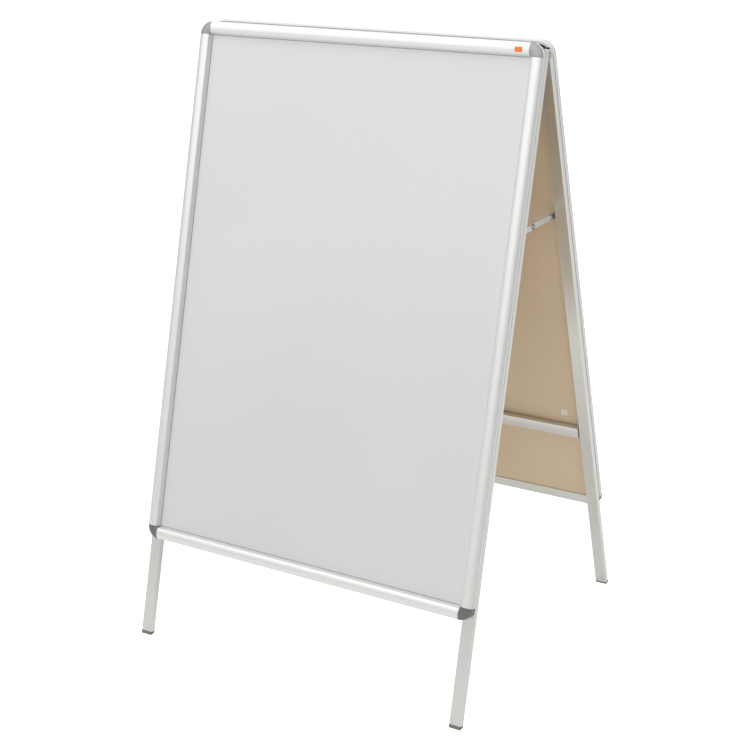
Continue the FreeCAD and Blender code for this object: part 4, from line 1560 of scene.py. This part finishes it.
@dataclass
class Labels:
    """The two small plain labels: an orange one on the front top cover and a pale one inside the rear board."""

    stance: Stance
    shop: Workshop
    section: SnapSection = field(default_factory=SnapSection)
    thickness: float = 0.12 * MM
    orange_lift: float = 0.02 * MM
    orange_across: Point = (267.0 * MM, 279.5 * MM)
    orange_inset: Point = (8.0 * MM, 15.6 * MM)
    orange_steps: int = 8
    pale_lift: float = 0.01 * MM
    pale_centre: Point = (-261.5 * MM, 663.5 * MM)
    pale_size: Point = (12.0 * MM, 10.5 * MM)

    def orange(self) -> bpy.types.Object:
        """Label that follows the dome of the front top cover."""
        steps, points, faces = self.orange_steps, [], []
        for lift in (self.orange_lift, self.thickness):
            for inset, out in self.section.dome_run(*self.orange_inset, steps):
                points += [self.stance.point(Panel.FRONT, across, inset - SnapFrame.rise, out + lift)
                           for across in self.orange_across]
        row = 2 * (steps + 1)
        for i in range(steps):
            a = 2 * i
            faces += [(a, a + 2, a + 3, a + 1), (row + a, row + a + 1, row + a + 3, row + a + 2),
                      (a, row + a, row + a + 2, a + 2), (a + 1, a + 3, row + a + 3, row + a + 1)]
        faces += [(0, 1, row + 1, row), (2 * steps, row + 2 * steps, row + 2 * steps + 1, 2 * steps + 1)]
        piece = self.shop.raw("orange_label_plate", points, faces=faces)
        self.tidy(piece)
        return self.shop.dress_and_issue(piece, "front_cover_top", "orange_label")

    def pale(self) -> bpy.types.Object:
        """Label on the inner face of the rear backing board."""
        (across, down), (width, height) = self.pale_centre, self.pale_size
        back = self.section.back + self.section.base_wall
        signs = ((-1, -1), (1, -1), (1, 1), (-1, 1))
        corners = [(across + sx * width / 2, down + sy * height / 2) for sx, sy in signs]
        points = [self.stance.point(Panel.REAR, x, y, back - lift)
                  for lift in (self.pale_lift, self.thickness) for x, y in corners]
        faces = [(0, 1, 2, 3), (7, 6, 5, 4)] + [(i, i + 4, (i + 1) % 4 + 4, (i + 1) % 4) for i in range(4)]
        piece = self.shop.raw("pale_label_plate", points, faces=faces)
        self.tidy(piece)
        return self.shop.dress_and_issue(piece, Panel.REAR.body, "pale_label")

    def tidy(self, piece: bpy.types.Object) -> None:
        """Turns a label's faces outwards and shades it smooth."""
        shape = bmesh.new()
        shape.from_mesh(piece.data)
        bmesh.ops.recalc_face_normals(shape, faces=shape.faces)
        shape.to_mesh(piece.data)
        shape.free()
        self.shop.smooth(piece)


@dataclass
class Studio:
    """Pale floor, soft lights and the camera."""

    shop: Workshop
    hinge_height: float
    azimuth: float = 31.374
    elevation: float = 18.917
    roll: float = -1.0673
    camera_offset: tuple[float, float, float] = (1.329103, -2.141024, 0.362960)
    lens: float = 76.673
    shift: Point = (-0.01662, -0.04046)
    ambient: float = 0.50
    backdrop: float = 0.78
    ceiling: float = 0.35
    flag_bearing: float = 60.0
    flag_half_width: float = 18.0
    flag_blur: float = 8.0
    flag_level: float = 0.0
    floor_reach: float = 14.0
    sensor: float = 36.0
    near: float = 0.05
    softbox_place: tuple[float, float, float] = (-0.1, -1.2, 2.25)
    softbox_aim: tuple[float, float, float] = (0.0, -0.05, 0.95)
    softbox_size: Point = (4.4, 3.2)
    softbox_power: float = 45.0

    def floor(self) -> None:
        """Lays the backdrop paper."""
        far = self.floor_reach
        piece = self.shop.raw("backdrop", [(-far, -far, 0), (far, -far, 0), (far, far, 0), (-far, far, 0)],
                              faces=[(0, 1, 2, 3)])
        self.shop.dress(piece, "backdrop_paper")

    def camera(self) -> None:
        """Sets up the camera."""
        az, el, roll = (math.radians(a) for a in (self.azimuth, self.elevation, self.roll))
        back = Vector((math.sin(az) * math.cos(el), -math.cos(az) * math.cos(el), math.sin(el)))
        right = (-back).cross(Vector((0, 0, 1))).normalized()
        up = right.cross(-back)
        turned_right = math.cos(roll) * right + math.sin(roll) * up
        turned_up = -math.sin(roll) * right + math.cos(roll) * up
        turn = Matrix((turned_right, turned_up, back)).transposed().to_4x4()
        data = bpy.data.cameras.new("studio_camera")
        data.sensor_width = self.sensor
        data.lens = self.lens
        data.shift_x, data.shift_y = self.shift
        data.clip_start = self.near
        made = bpy.data.objects.new("studio_camera", data)
        bpy.context.scene.collection.objects.link(made)
        place = Vector(self.camera_offset) + Vector((0, 0, self.hinge_height))
        made.matrix_world = Matrix.Translation(place) @ turn
        bpy.context.scene.camera = made

    @staticmethod
    def lamp(name: str, place: Sequence[float], aim: Sequence[float], size: Point, power: float) -> None:
        """Hangs one rectangular soft light.

        Args:
            name: The light's name.
            place: Where it hangs.
            aim: The point it faces.
            size: Its width and height.
            power: Its power in watts.
        """
        data = bpy.data.lights.new(name, "AREA")
        data.shape = "RECTANGLE"
        data.size, data.size_y = size
        data.energy = power
        made = bpy.data.objects.new(name, data)
        bpy.context.scene.collection.objects.link(made)
        made.location = place
        made.rotation_euler = (Vector(aim) - Vector(place)).to_track_quat("-Z", "Y").to_euler()

    def surroundings(self) -> None:
        """Sets the even pale light from all round, seen as white by the camera."""
        world = bpy.data.worlds.new("studio")
        world.use_nodes = True
        sketch = ShaderSketch(world.node_tree)
        light = next(n for n in world.node_tree.nodes if n.type == "BACKGROUND")
        light.inputs["Color"].default_value = (1.0, 1.0, 1.0, 1.0)
        level = sketch.node("VectorMath", operation="MULTIPLY")
        sketch.feed(level.inputs[0], sketch.node("TexCoord").outputs["Generated"])
        level.inputs[1].default_value = (1.0, 1.0, 0.0)
        bearing = sketch.node("VectorMath", operation="NORMALIZE")
        sketch.feed(bearing.inputs[0], level.outputs[0])
        toward = sketch.node("VectorMath", operation="DOT_PRODUCT")
        sketch.feed(toward.inputs[0], bearing.outputs[0])
        flag = math.radians(self.flag_bearing)
        toward.inputs[1].default_value = (math.sin(flag), -math.cos(flag), 0.0)
        edges = [math.cos(math.radians(self.flag_half_width + blur)) for blur in (self.flag_blur, 0.0)]
        shaded = sketch.spread(toward.outputs["Value"], *edges, 1.0, self.flag_level)
        around = sketch.spread(sketch.split(bearing.outputs[0])["Y"], -0.2, 0.5, self.ambient, self.backdrop)
        above = sketch.spread(sketch.split(sketch.node("TexCoord").outputs["Generated"])["Z"], 0.25, 0.9, 0.0,
                              self.ceiling)
        glow = sketch.total(sketch.scaled(around, shaded), above)
        seen = sketch.node("LightPath").outputs["Is Camera Ray"]
        sketch.feed(light.inputs["Strength"], sketch.spread(seen, 0.0, 1.0, glow, 1.0))
        bpy.context.scene.world = world

    def build(self) -> None:
        """Sets the whole studio."""
        self.floor()
        self.camera()
        self.surroundings()
        self.lamp("softbox", self.softbox_place, self.softbox_aim, self.softbox_size, self.softbox_power)
        bpy.context.scene.view_settings.view_transform = "Standard"


def main() -> None:
    """Loads the frame, builds every sub-assembly and sets the studio."""
    logging.basicConfig(level=logging.INFO, format="%(name)s: %(message)s")
    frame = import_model()
    stance = Stance.read(frame["record"])
    finishes = FinishSet(stance.lean)
    shop = Workshop(finishes)
    carried = CarriedNodes(shop, frame["nodes"])
    carried.build()
    EasedCopies(shop, carried, frame["record"]["behaviour"]["bodies"]).build()
    for panel in Panel:
        snap_frame = SnapFrame(panel, stance, shop)
        snap_frame.build()
        Fixings(panel, snap_frame, stance, shop).build()
    labels = Labels(stance, shop)
    labels.orange()
    labels.pale()
    Studio(shop, stance.hinge_height).build()


if __name__ == "__main__":
    main()
